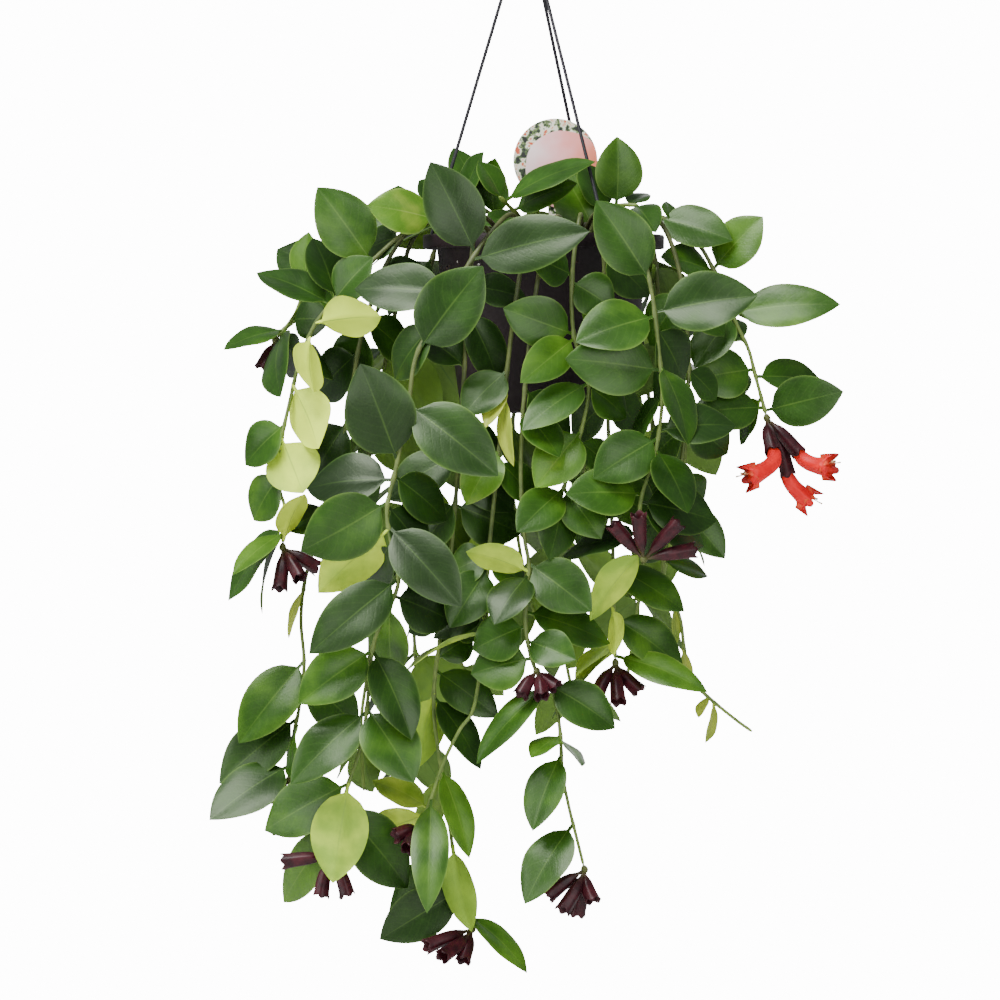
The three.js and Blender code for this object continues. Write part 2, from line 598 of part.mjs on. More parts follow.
// The stem rises over the rim, falls clear of the pot and sways a little on its way down.
function grownVine([azimuth, footRadius, lowest, reach, seed]) {
  const draw = draws(seed);
  const route = [
    aroundPot(azimuth, footRadius, SOIL_CROWN_Z - ROOT_DEPTH),
    aroundPot(azimuth, footRadius, SOIL_CROWN_Z + 4),
    aroundPot(azimuth, RIM_RADIUS - 4, RIM_Z + 12),
    aroundPot(azimuth, RIM_RADIUS + 18, RIM_Z - 4),
  ];
  const steps = Math.round((RIM_Z - lowest) / 42);
  for (let i = 1; i <= steps; i += 1) {
    const share = i / steps;
    const radius = RIM_RADIUS + 22 + (reach - RIM_RADIUS - 22) * Math.sin(share * 2.2) + 5 * (draw() - 0.5);
    const sway = 7 * Math.sin(share * 5 + seed) * share + 3 * (draw() - 0.5);
    route.push(aroundPot(azimuth + sway, radius, RIM_Z - 4 + (lowest - RIM_Z) * share));
  }

  const leaves = [];
  const total = routeLength(route);
  let turnOfPair = draw() < 0.5;
  for (let along = 44 + 12 * draw(); along < total - 2; along += PAIR_SPACING * (0.82 + 0.36 * draw())) {
    const base = pointAlong(route, along);
    const stem = unit(sub(pointAlong(route, along + 4), pointAlong(route, along - 4)));
    const outward = unit([base[0] - POT_X, base[1], 0]);
    const tangent = [-outward[1], outward[0], 0];
    const length = (44 + 18 * draw()) * (along > total - 60 ? 0.8 : 1);
    for (const side of [-1, 1]) {
      const spread = turnOfPair ? tangent : unit(add(outward, mul(tangent, 0.35)));
      const away = unit(sub(mul(spread, side), mul(stem, side * dot(spread, stem))));
      const sag = 0.35 + 0.5 * draw();
      const aim = unit(add(add(away, mul(stem, 0.45)), [0, 0, -sag]));
      const turn = 20 + 50 * draw();
      const width = length * (LEAF_RATIO - 0.06 + 0.1 * draw());
      leaves.push({ base, tip: add(base, mul(aim, length)), front: outward, turn, width });
    }
    turnOfPair = !turnOfPair;
  }
  return { route, leaves };
}

// ---------------------------------------------------------------- one leaf

// Where along the leaf its outline is given, and its half width there as a share of the greatest.
const OUTLINE = [
  [0.1, 0.06],
  [0.4, 1],
  [0.76, 0.64],
];

const nearestOn = (route, x, z) => {
  let best = [Infinity, route[0]];
  for (let i = 1; i + 1 < route.length; i += 1) {
    const step = sub(route[i + 1], route[i]);
    const forward = (x - route[i][0]) * step[0] + (z - route[i][2]) * step[2];
    const along = forward / (step[0] ** 2 + step[2] ** 2 + 1e-9);
    const point = add(route[i], mul(step, Math.min(1, Math.max(0, along))));
    const gap = Math.hypot(point[0] - x, point[2] - z);
    if (gap < best[0]) best = [gap, point];
  }
  return best[1];
};

const FRONT = [0, -1, 0];
function placedLeaf(route, [baseX, baseZ, tipX, tipZ, lean, turn, width]) {
  const base = nearestOn(route, baseX, baseZ);
  return { base, tip: [tipX, base[1] + lean, tipZ], front: FRONT, turn, width };
}

// The leaf's own directions: along the midrib, out of the upper face, and to its right.
function leafFrame({ base, tip, front, turn }) {
  const along = unit(sub(tip, base));
  const facing = unit(sub(front, mul(along, dot(front, along))));
  const side = cross(along, facing);
  const sky = [base[0] < POT_X ? -0.3 : 0.3, 0, 1];
  const upward = dot(side, sky) < 0 ? mul(side, -1) : side;
  const up = add(mul(facing, Math.cos(radians(turn))), mul(upward, Math.sin(radians(turn))));
  return { along, up, right: cross(along, up) };
}

// A point of the blade: share of the length, and share of the half width from -1 to 1.
function bladePoint(leaf, frame, share, across, halfWidth) {
  const length = size(sub(leaf.tip, leaf.base));
  const rise = LEAF_BOW * length * Math.sin(Math.PI * share);
  const out = mul(frame.right, across * halfWidth);
  return add(add(add(leaf.base, mul(frame.along, length * share)), out), mul(frame.up, rise));
}

function leafSolid(leaf) {
  const frame = leafFrame(leaf);
  const section = (share, reach, keel) => [
    bladePoint(leaf, frame, share, 1, reach),
    sub(bladePoint(leaf, frame, share, 0, 0), mul(frame.up, keel)),
    bladePoint(leaf, frame, share, -1, reach),
  ];
  const rings = [
    section(0, PETIOLE_ROOT_HALF_WIDTH, 0.7),
    ...OUTLINE.map(([share, spread]) =>
      section(share, Math.max(PETIOLE_HALF_WIDTH, (spread * leaf.width) / 2), LEAF_KEEL),
    ),
  ];
  return loftSolid(rings, leaf.base, leaf.tip);
}

// ---------------------------------------------------------------- keeping the leaves clear of each other

const GRID = 4; // spacing of the points that stand for a blade
const KEEP_OFF = 3.7;
const POT_KEEP_OFF = 4;
const cellOf = (p) => p.map((v) => Math.floor(v / 8));
const taken = new Map();

function occupy(point, owner, radius = 0, share = 0) {
  const key = cellOf(point).join();
  if (!taken.has(key)) taken.set(key, []);
  taken.get(key).push({ point, owner, radius, share });
}

function occupyLine(from, to, owner, radius) {
  const steps = Math.ceil(size(sub(to, from)) / 3);
  for (let i = 0; i <= steps; i += 1) occupy(add(from, mul(sub(to, from), i / steps)), owner, radius);
}

const EDGE = [...OUTLINE, [1.001, 0]]; // the outline on to the tip

function bladePoints(leaf) {
  const frame = leafFrame(leaf);
  const length = size(sub(leaf.tip, leaf.base));
  const points = [];
  const rows = Math.ceil((length * 0.9) / GRID);
  for (let i = 0; i <= rows; i += 1) {
    const share = 0.1 + (0.9 * i) / rows;
    const after = EDGE.findIndex(([end]) => end > share);
    const [low, high] = EDGE.slice(after - 1, after + 1);
    const half = ((low[1] + ((high[1] - low[1]) * (share - low[0])) / (high[0] - low[0])) * leaf.width) / 2;
    const columns = Math.ceil(half / GRID);
    for (let k = -columns; k <= columns; k += 1) {
      points.push({ point: bladePoint(leaf, frame, share, columns ? k / columns : 0, half), share });
    }
  }
  return points;
}

function insidePot([x, y, z]) {
  const radius = Math.hypot(x - POT_X, y);
  if (z < FLOOR_Z - POT_KEEP_OFF) return false;
  const besideLip = z < RIM_Z + POT_KEEP_OFF && z > RIM_Z - RIM_LIP_HEIGHT - POT_KEEP_OFF;
  if (besideLip && radius < RIM_RADIUS + POT_KEEP_OFF) return true;
  return z < RIM_Z && radius < wallRadius(z) + POT_KEEP_OFF;
}

function isFree(points, owner) {
  return points.every(({ point, share }) => {
    if (insidePot(point)) return false;
    const [cx, cy, cz] = cellOf(point);
    for (let x = cx - 1; x <= cx + 1; x += 1) {
      for (let y = cy - 1; y <= cy + 1; y += 1) {
        for (let z = cz - 1; z <= cz + 1; z += 1) {
          for (const other of taken.get([x, y, z].join()) ?? []) {
            const own = other.owner === owner;
            if (own && (share < 0.3 || other.share < 0.3)) continue;
            if (size(sub(point, other.point)) < (own ? 2.6 : KEEP_OFF + other.radius)) return false;
          }
        }
      }
    }
    return true;
  });
}

// The ways in which a leaf may give way: its tip leans to the front or back, its face turns, it is smaller.
function* waysOf(leaf) {
  const { base, tip, front, turn, width } = leaf;
  for (const growth of [1, 0.84, 0.68]) {
    for (const lean of [0, 9, -9, 18, -18, 28, -28, 40]) {
      for (const roll of [0, 22, -22, 44]) {
        const reach = add(sub(tip, base), mul(front, lean));
        yield { base, tip: add(base, mul(reach, growth)), front, turn: turn + roll, width: width * growth };
      }
    }
  }
}

function settled(leaf, owner) {
  for (const way of waysOf(leaf)) {
    const points = bladePoints(way);
    if (!isFree(points, owner)) continue;
    for (const { point, share } of points) occupy(point, owner, 0, share);
    return way;
  }
  return null;
}

// ---------------------------------------------------------------- blooms

// A cluster of calyces stands on a knob at the tip of the stem that `on` names, or in front of that stem
// beside the [x, z] that `beside` gives. `ends` are the mouths of the calyces as [x, y, z], and `open` says
// which of them carry a corolla, with the corolla's own end.
const KNOB_RADIUS = 2.6;
const BLOOMS = {
  blooms_right_far: {
    on: "vine_right_far",
    ends: [[154, -38, -335], [171, -26, -336], [164, -14, -349]],
    open: {
      corolla_left: [0, [134, -56, -352]],
      corolla_upper: [1, [194, -40, -344]],
      corolla_lower: [2, [182, -8, -368]],
    },
  },
  blooms_right_front: {
    on: "vine_right_front",
    ends: [[53, -120, -380], [69, -127, -374], [94, -119, -379], [104, -108, -396]],
  },
  blooms_left_front: {
    on: "vine_left_front",
    ends: [[-155, -42, -421], [-131, -34, -408], [-142, -46, -414]],
  },
  blooms_left_back: {
    on: "vine_left_back",
    ends: [[-167, 13, -282], [-162, 24, -279]],
  },
  blooms_left_low: {
    on: "vine_left_low",
    ends: [[-161, -24, -553], [-156, -14, -575], [-146, -26, -560]],
  },
  blooms_front_long: {
    on: "vine_front_long",
    ends: [[-152, -98, -590], [-128, -98, -611], [-112, -102, -611]],
  },
  blooms_front_centre: {
    on: "vine_front_centre",
    ends: [[13, -106, -611], [22, -114, -620], [31, -98, -623], [41, -112, -614]],
  },
  blooms_centre_mid: {
    on: "vine_front_centre",
    beside: [6, -471],
    ends: [[-4, -122, -486], [9, -125, -487], [18, -120, -481]],
  },
  blooms_front_low_left: {
    on: "vine_front_low_left",
    ends: [[-63, -92, -643], [-53, -98, -649], [-40, -90, -652]],
  },
  blooms_centre_low: {
    on: "vine_centre_low",
    ends: [[43, -80, -488], [57, -88, -491], [70, -78, -484]],
  },
  blooms_front_low_inner: {
    on: "vine_front_low_inner",
    ends: [[-82, -102, -574], [-74, -108, -582]],
  },
};

// Distances from the knob and radii of a calyx: a narrow foot, a belly and an open, toothed mouth.
const CALYX_PROFILE = [
  [0.05, 1.2],
  [0.6, 3.8],
  [1, 4.3],
];
const MOUTH_DEPTH = 9;
const TOOTH = 1.5;

function calyx(at, end) {
  const along = unit(sub(end, at));
  const length = size(sub(end, at));
  const rings = CALYX_PROFILE.map(([share, radius], i) =>
    ring(add(at, mul(along, length * share)), along, radius, CALYX_SIDES, [0.2, 0.3, 1], (k) =>
      i === CALYX_PROFILE.length - 1 ? (k % 2 ? -TOOTH : TOOTH) : 0,
    ),
  );
  return loftSolid(rings, at, sub(end, mul(along, MOUTH_DEPTH)));
}

// The corolla leaves the calyx as a narrow tube, bends towards its own end and opens in two lips.
function corolla(at, mouth, end) {
  const along = unit(sub(mouth, at));
  const start = sub(mouth, mul(along, MOUTH_DEPTH * 0.66));
  const reach = size(sub(end, mouth));
  const bendPoint = add(mouth, mul(along, reach * 0.4));
  const curve = new THREE.QuadraticBezierCurve3(vector(mouth), vector(bendPoint), vector(end));
  const line = [start, ...[0, 0.3, 0.62, 0.86, 1].map((t) => curve.getPoint(t).toArray())];
  const radii = [0.6, 2.9, 4.2, 5.6, 6.2, 6.6];
  const rings = line.map((p, i) => {
    const before = line[Math.max(0, i - 1)];
    const after = line[Math.min(line.length - 1, i + 1)];
    const direction = i < 2 ? along : unit(sub(after, before));
    const lip = (k) => (i < line.length - 1 ? 0 : [5.5, 2, -5, 1.5, 3.5, -4, 3.5, 1.5, -5, 2][k]);
    return ring(p, direction, radii[i], 10, [0, 0, 1], lip);
  });
  const last = line[line.length - 1];
  const throat = sub(last, mul(unit(sub(last, line[line.length - 2])), 9));
  const pistil = tubeSolid(
    [throat, add(last, mul(unit(sub(last, line[line.length - 2])), 9))].map((p, i) =>
      i ? p : sub(p, mul(unit(sub(last, throat)), 2)),
    ),
    [1, 0.7],
    4,
  );
  return loftSolid(rings, start, throat).add(pistil);
}

function knobCentre(route, beside) {
  if (beside) return add(nearestOn(route, ...beside), mul(FRONT, STEM_TIP_RADIUS + KNOB_RADIUS + CLEAR));
  const [before, end] = route.slice(-2);
  return add(end, mul(unit(sub(end, before)), KNOB_RADIUS + CLEAR));
}

function bloomCluster({ at, ends }) {
  const knob = solidOf(new THREE.IcosahedronGeometry(KNOB_RADIUS, 0).translate(...at));
  return joined([knob, ...ends.map((end) => calyx(at, end))]);
}

// ---------------------------------------------------------------- the whole plant

function stemSolid(route) {
  const radii = route.map(
    (_, i) => STEM_ROOT_RADIUS + ((STEM_TIP_RADIUS - STEM_ROOT_RADIUS) * i) / (route.length - 1),
  );
  return tubeSolid(route, radii, STEM_SIDES);
}

const vines = {};
for (const [name, { route, leaves }] of Object.entries(VINES)) {
  vines[name] = { route, leaves: leaves.map((row) => placedLeaf(route, row)) };
}
for (const [name, row] of Object.entries(GROWN)) vines[name] = grownVine(row);

for (const [name, { route }] of Object.entries(vines)) {
  for (let i = 1; i + 1 < route.length; i += 1) occupyLine(route[i], route[i + 1], name, 0.6);
}
for (const azimuth of LEG_AZIMUTHS) occupyLine(legHead(azimuth), legFoot(azimuth), "leg", 0.8);
const [tagX, tagY, tagZ] = TAG_CENTRE;
for (let x = -TAG_RADIUS; x <= TAG_RADIUS; x += GRID) {
  for (let z = -TAG_RADIUS; z <= TAG_RADIUS; z += GRID) {
    if (Math.hypot(x, z) <= TAG_RADIUS) occupy([tagX + x, tagY, tagZ + z], "tag", 0.4);
  }
}
occupyLine([tagX, tagY, tagZ - TAG_RADIUS], [tagX, tagY, SOIL_CROWN_Z], "tag", 3);
const blooms = {};
for (const [name, { on, beside, ends, open = {} }] of Object.entries(BLOOMS)) {
  const at = knobCentre(vines[on].route, beside);
  blooms[name] = { at, ends, open };
  for (const end of ends) occupyLine(add(at, mul(sub(end, at), 0.3)), end, name, 3.4);
  occupy(at, name, KNOB_RADIUS);
  for (const [which, end] of Object.values(open)) occupyLine(ends[which], end, name, 5);
}

const grown = {};
for (const [name, { route, leaves }] of Object.entries(vines)) {
  const kept = leaves.map((leaf) => settled(leaf, name)).filter(Boolean);
  grown[name] = joined([stemSolid(route), ...kept.map(leafSolid)]);
}

const finish = (color, roughness) => new THREE.MeshStandardMaterial({ color, roughness, metalness: 0 });
const POT_PLASTIC = finish("#2c2628", 0.55);
const HANGER_PLASTIC = finish("#4a4a52", 0.5);
const COMPOST = finish("#3a2a20", 0.95);
const TAG_CARD = finish("#e8c4cc", 0.45);
const GREEN = finish("#3f6a33", 0.4);
const MAROON = finish("#43202a", 0.5);
const RED = finish("#d8342a", 0.45);

const plant = new THREE.Group();
plant.position.set(0, 0, -HOOK_HEIGHT);
function place(name, solid, material) {
  const mesh = new THREE.Mesh(geometryOf(solid), material);
  mesh.name = name;
  plant.add(mesh);
}

place("pot", pot(), POT_PLASTIC);
place("soil", soil(Object.values(vines)), COMPOST);
place("hanger_hook", hook(), HANGER_PLASTIC);
place("hanger_leg_left", leg(LEG_AZIMUTHS[0]), HANGER_PLASTIC);
place("hanger_leg_front", leg(LEG_AZIMUTHS[1]), HANGER_PLASTIC);
place("hanger_leg_back", leg(LEG_AZIMUTHS[2]), HANGER_PLASTIC);
place("plant_tag", tag(), TAG_CARD);
for (const [name, solid] of Object.entries(grown)) place(name, solid, GREEN);
for (const [name, bloom] of Object.entries(blooms)) {
  place(name, bloomCluster(bloom), MAROON);
  for (const [corollaName, [which, end]] of Object.entries(bloom.open)) {
    place(corollaName, corolla(bloom.at, bloom.ends[which], end), RED);
  }
}

export default plant;
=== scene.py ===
# A lipstick plant, Aeschynanthus radicans, trailing from a nursery pot on a three-legged hanger.
# Metres. Lengths written in millimetres are turned into metres by MM where they are used.
import math
import bpy
import numpy as np
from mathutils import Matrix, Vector, kdtree, noise


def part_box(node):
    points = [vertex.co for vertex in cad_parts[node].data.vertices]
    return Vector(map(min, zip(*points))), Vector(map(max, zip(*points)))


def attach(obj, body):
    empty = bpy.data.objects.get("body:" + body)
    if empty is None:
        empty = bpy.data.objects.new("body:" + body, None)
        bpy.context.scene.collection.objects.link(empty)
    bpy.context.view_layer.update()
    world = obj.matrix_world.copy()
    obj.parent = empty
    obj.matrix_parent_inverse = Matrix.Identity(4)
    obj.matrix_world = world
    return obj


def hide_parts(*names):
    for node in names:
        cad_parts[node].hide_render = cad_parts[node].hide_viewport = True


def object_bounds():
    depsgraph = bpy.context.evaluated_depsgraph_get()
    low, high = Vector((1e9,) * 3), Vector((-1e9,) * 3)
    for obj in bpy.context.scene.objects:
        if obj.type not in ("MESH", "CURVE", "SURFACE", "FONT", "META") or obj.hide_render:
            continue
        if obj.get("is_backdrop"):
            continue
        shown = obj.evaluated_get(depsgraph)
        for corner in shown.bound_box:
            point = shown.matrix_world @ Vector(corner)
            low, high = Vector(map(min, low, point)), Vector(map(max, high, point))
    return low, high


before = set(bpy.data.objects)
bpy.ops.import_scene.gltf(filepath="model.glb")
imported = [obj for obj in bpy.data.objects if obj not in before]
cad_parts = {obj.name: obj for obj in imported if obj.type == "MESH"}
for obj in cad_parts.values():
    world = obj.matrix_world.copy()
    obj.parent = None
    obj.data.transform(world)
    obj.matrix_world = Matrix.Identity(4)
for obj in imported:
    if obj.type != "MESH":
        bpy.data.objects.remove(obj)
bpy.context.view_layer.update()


# ---- Frame and studio
# The plant hangs from the origin, where its hook bears. A long lens looks at it level from the front, so
# that near and far leaves keep their size, and broad soft lamps stand round it over a pale floor.
CAMERA_DISTANCE = 8.0
VIEW_WIDTH = 0.625
VIEW_CENTRE = (-0.0169, -0.401)
SHARP_PLANE = -0.06  # the front leaves, where VIEW_WIDTH is measured
FLOOR_Z = -1.05


def new_object(name, data):
    made = bpy.data.objects.new(name, data)
    bpy.context.scene.collection.objects.link(made)
    return made


camera_data = bpy.data.cameras.new("camera")
camera_data.sensor_width = 36.0
camera_data.lens = camera_data.sensor_width * (CAMERA_DISTANCE + SHARP_PLANE) / VIEW_WIDTH
camera = new_object("camera", camera_data)
camera.location = (VIEW_CENTRE[0], -CAMERA_DISTANCE, VIEW_CENTRE[1])
camera.rotation_euler = (math.radians(90), 0, 0)
bpy.context.scene.camera = camera

MIDDLE = Vector((0, 0, -0.4))
for name, place, size, power in [
    ("top_softbox", (-0.7, -1.0, 1.3), (1.4, 1.0), 71),
    ("front_softbox", (0.9, -2.6, 0.1), (1.6, 1.6), 33),
    ("left_softbox", (-2.2, -1.2, 0.0), (1.0, 1.8), 29),
    ("back_softbox", (0.6, 2.2, 0.6), (1.6, 1.6), 14),
]:
    data = bpy.data.lights.new(name, "AREA")
    data.shape = "RECTANGLE"
    data.size, data.size_y = size
    data.energy = power
    lamp = new_object(name, data)
    lamp.location = place
    lamp.rotation_euler = (MIDDLE - Vector(place)).to_track_quat("-Z", "Y").to_euler()

world = bpy.data.worlds.new("white_studio")
world.use_nodes = True
bpy.context.scene.world = world
sky = world.node_tree
sky.nodes.clear()


def new_node(tree, kind, inputs={}, **settings):
    """A node with its settings made, then its inputs set to numbers or linked to other nodes' outputs."""
    made = tree.nodes.new(kind)
    for key, value in settings.items():
        setattr(made, key, value)
    for key, value in inputs.items():
        if isinstance(value, bpy.types.NodeSocket):
            tree.links.new(value, made.inputs[key])
        else:
            made.inputs[key].default_value = value
    return made


seen = new_node(sky, "ShaderNodeBackground", {"Color": (1, 1, 1, 1), "Strength": 14.0})
lit = new_node(sky, "ShaderNodeBackground", {"Color": (0.97, 0.98, 1, 1), "Strength": 0.29})
by_camera = new_node(sky, "ShaderNodeLightPath").outputs["Is Camera Ray"]
either = new_node(sky, "ShaderNodeMixShader", {0: by_camera, 1: lit.outputs[0], 2: seen.outputs[0]})
new_node(sky, "ShaderNodeOutputWorld", {"Surface": either.outputs[0]})

bpy.ops.mesh.primitive_plane_add(size=7, location=(0, 0, FLOOR_Z))
floor = bpy.context.object
floor.name = "floor"
floor_paint = bpy.data.materials.new("pale_floor")
floor_paint.use_nodes = True
paint = floor_paint.node_tree.nodes["Principled BSDF"]
paint.inputs["Base Color"].default_value = (0.82, 0.82, 0.81, 1)
paint.inputs["Roughness"].default_value = 0.7
floor.data.materials.append(floor_paint)
floor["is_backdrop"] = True


# ---- Nursery pot
# A thin injection-moulded pot of dark recycled plastic, with a rolled rim and shallow steps under it. It
# carries the compost, and the hanger's legs clip through its rim.
MM = 0.001


def keep_mark(mesh, key, values):
    mesh.attributes.new(key, "FLOAT", "POINT").data.foreach_set("value", np.asarray(values, np.float32))


def new_piece(name, points, faces, material, slot, replaced=(), smooth=True, uv=None, marks={}, sharp=None):
    """A finished mesh object: uv is one pair a vertex, marks are numbers kept on the vertices, and edges
    between two sharp vertices stay hard."""
    mesh = bpy.data.meshes.new(name)
    mesh.from_pydata([tuple(p) for p in points], [], faces)
    if uv is not None:
        layer = mesh.uv_layers.new(name="UVMap")
        corner = np.zeros(len(mesh.loops), dtype=np.int64)
        mesh.loops.foreach_get("vertex_index", corner)
        layer.data.foreach_set("uv", np.asarray(uv, dtype=np.float32)[corner].ravel())
    for key, values in marks.items():
        keep_mark(mesh, key, values)
    mesh.polygons.foreach_set("use_smooth", [smooth] * len(mesh.polygons))
    if sharp is not None:
        ends = np.zeros(len(mesh.edges) * 2, dtype=np.int64)
        mesh.edges.foreach_get("vertices", ends)
        ends = ends.reshape(-1, 2)
        rim = np.asarray(sharp, dtype=bool)
        mesh.edges.foreach_set("use_edge_sharp", rim[ends[:, 0]] & rim[ends[:, 1]])
    mesh.validate()
    return finish_piece(name, mesh, material, replaced)


def finish_piece(name, mesh, material, replaced=()):
    mesh.materials.clear()
    mesh.materials.append(material)
    piece = new_object(name, mesh)
    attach(piece, "root")
    if replaced:
        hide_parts(*replaced)
    return piece


def turned(profile, sides, centre):
    """A closed profile of (radius, height) turned about the vertical through centre; radius 0 is a pole."""
    points, faces, starts = [], [], []
    for radius, z in profile:
        starts.append((len(points), 1 if radius < 1e-7 else sides))
        for k in range(starts[-1][1]):
            turn = math.tau * k / sides
            points.append((centre[0] + radius * math.cos(turn), centre[1] + radius * math.sin(turn), z))
    for (a, a_count), (b, b_count) in zip(starts, starts[1:]):
        for k in range(sides):
            near, far = k, (k + 1) % sides
            if a_count == 1 and b_count == 1:
                continue
            if a_count == 1:
                faces.append((a, b + far, b + near))
            elif b_count == 1:
                faces.append((a + near, a + far, b))
            else:
                faces.append((a + near, a + far, b + far, b + near))
    return points, faces


def add_mesh(points, faces, more, more_faces):
    """Adds a mesh to the lists of points and faces that it is part of."""
    faces += [tuple(len(points) + i for i in face) for face in more_faces]
    points += list(more)


def shader(name, values={}):
    """A material with plain numbers on its surface."""
    material = bpy.data.materials.new(name)
    material.use_nodes = True
    surface = material.node_tree.nodes["Principled BSDF"]
    for key, value in values.items():
        surface.inputs[key].default_value = value
    return material, material.node_tree, surface


def ramp(tree, source, stops):
    made = new_node(tree, "ShaderNodeValToRGB", {"Fac": source})
    band = made.color_ramp
    while len(band.elements) < len(stops):
        band.elements.new(0.5)
    for element, (position, colour) in zip(band.elements, stops):
        element.position = position
        element.color = (*colour, 1)
    return made.outputs["Color"]


def maths(tree, operation, *terms):
    return new_node(tree, "ShaderNodeMath", dict(enumerate(terms)), operation=operation).outputs[0]


def own_place(tree):
    return new_node(tree, "ShaderNodeTexCoord").outputs["Object"]


def clouds(tree, where, scale, detail=2.0):
    """Smooth noise from 0 to 1, with its scale in lumps a metre."""
    inputs = {"Vector": where, "Scale": scale, "Detail": detail}
    return new_node(tree, "ShaderNodeTexNoise", inputs).outputs["Fac"]


def mixed_colour(tree, share, first, second):
    return new_node(tree, "ShaderNodeMix", {0: share, 6: first, 7: second}, data_type="RGBA").outputs[2]


def dented(tree, surface, height, strength, distance):
    """Gives a surface the fine relief of a height."""
    dent = new_node(tree, "ShaderNodeBump", {"Height": height, "Strength": strength, "Distance": distance})
    tree.links.new(dent.outputs[0], surface.inputs["Normal"])


def group_tree(kind, name, inputs, outputs):
    """A node group, with the nodes where its named inputs come in and its outputs leave."""
    tree = bpy.data.node_groups.new(name, kind)
    for key, socket, value in inputs:
        made = tree.interface.new_socket(key, in_out="INPUT", socket_type=socket)
        if value is not None:
            made.default_value = value
    for key, socket in outputs:
        tree.interface.new_socket(key, in_out="OUTPUT", socket_type=socket)
    return tree, tree.nodes.new("NodeGroupInput"), tree.nodes.new("NodeGroupOutput")


# Moulded plastic: a fine orange-peel skin, cloudy wear and pale dust that settles in patches.
FLOAT, COLOUR = "NodeSocketFloat", "NodeSocketColor"
moulded, given, put = group_tree(
    "ShaderNodeTree", "moulded_plastic",
    [("Plastic", COLOUR, (0.02, 0.02, 0.02, 1)), ("Dust", COLOUR, (0.2, 0.17, 0.14, 1)),
     ("Dust Amount", FLOAT, 0.3), ("Roughness", FLOAT, 0.45), ("Grain Scale", FLOAT, 900.0)],
    [("Color", COLOUR), ("Roughness", FLOAT), ("Height", FLOAT)],
)
where = own_place(moulded)
patch = ramp(moulded, clouds(moulded, where, 38.0, 6.0), [(0.45, (0, 0, 0)), (0.75, (1, 1, 1))])
share = maths(moulded, "MULTIPLY", patch, given.outputs["Dust Amount"])
dusty = mixed_colour(moulded, share, given.outputs["Plastic"], given.outputs["Dust"])
moulded.links.new(dusty, put.inputs["Color"])
rough = maths(moulded, "MULTIPLY_ADD", share, 0.35, given.outputs["Roughness"])
moulded.links.new(rough, put.inputs["Roughness"])
moulded.links.new(clouds(moulded, where, given.outputs["Grain Scale"]), put.inputs["Height"])


def plastic(name, colour, dust, amount, roughness, grain):
    material, tree, surface = shader(name, {"Specular IOR Level": 0.3})
    values = {"Plastic": (*colour, 1), "Dust": (*dust, 1), "Dust Amount": amount, "Roughness": roughness}
    effect = new_node(tree, "ShaderNodeGroup", values, node_tree=moulded)
    tree.links.new(effect.outputs["Color"], surface.inputs["Base Color"])
    tree.links.new(effect.outputs["Roughness"], surface.inputs["Roughness"])
    dented(tree, surface, effect.outputs["Height"], grain, 2e-4)
    return material


POT_SIDES = 96
POT_WALL = 1.6 * MM
RIM_LIP = 9 * MM
pot_low, pot_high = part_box("pot")
POT_X = (pot_low.x + pot_high.x) / 2
RIM_RADIUS = (pot_high.x - pot_low.x) / 2
RIM_Z = pot_high.z
FOOT_Z = pot_low.z
FOOT_RADIUS = 52 * MM
TOP_RADIUS = 68 * MM


def wall_radius(z):
    return FOOT_RADIUS + (TOP_RADIUS - FOOT_RADIUS) * (z - FOOT_Z) / (RIM_Z - FOOT_Z)


POT_PROFILE = [
    (0, FOOT_Z + 2.4 * MM),
    (FOOT_RADIUS - 6 * MM, FOOT_Z + 2.4 * MM),
    (FOOT_RADIUS - 4.5 * MM, FOOT_Z),
    (FOOT_RADIUS - 1 * MM, FOOT_Z),
    (FOOT_RADIUS, FOOT_Z + 1 * MM),
    (wall_radius(FOOT_Z + 34 * MM), FOOT_Z + 34 * MM),
    (wall_radius(FOOT_Z + 35 * MM) + 0.5 * MM, FOOT_Z + 35 * MM),
    (wall_radius(RIM_Z - 26 * MM), RIM_Z - 26 * MM),
    (wall_radius(RIM_Z - 25 * MM) + 0.9 * MM, RIM_Z - 25 * MM),
    (TOP_RADIUS, RIM_Z - 2.4 * MM),
    (RIM_RADIUS - 1.9 * MM, RIM_Z - 2.2 * MM),
    (RIM_RADIUS - 1.6 * MM, RIM_Z - RIM_LIP + 0.4 * MM),
    (RIM_RADIUS - 0.8 * MM, RIM_Z - RIM_LIP),
    (RIM_RADIUS - 0.1 * MM, RIM_Z - RIM_LIP + 0.4 * MM),
    (RIM_RADIUS, RIM_Z - 1.4 * MM),
    (RIM_RADIUS - 0.5 * MM, RIM_Z - 0.3 * MM),
    (RIM_RADIUS - 1.6 * MM, RIM_Z),
    (TOP_RADIUS - 0.6 * MM, RIM_Z),
    (TOP_RADIUS - POT_WALL, RIM_Z - 1.2 * MM),
    (FOOT_RADIUS - POT_WALL, FOOT_Z + 5 * MM),
    (FOOT_RADIUS - 4 * MM, FOOT_Z + 4 * MM),
    (0, FOOT_Z + 4 * MM),
]
pot_plastic = plastic("pot_plastic", (0.010, 0.004, 0.006), (0.10, 0.06, 0.05), 0.06, 0.52, 0.12)
new_piece("pot_body", *turned(POT_PROFILE, POT_SIDES, (POT_X, 0)), pot_plastic, "pot_plastic", ["pot"])

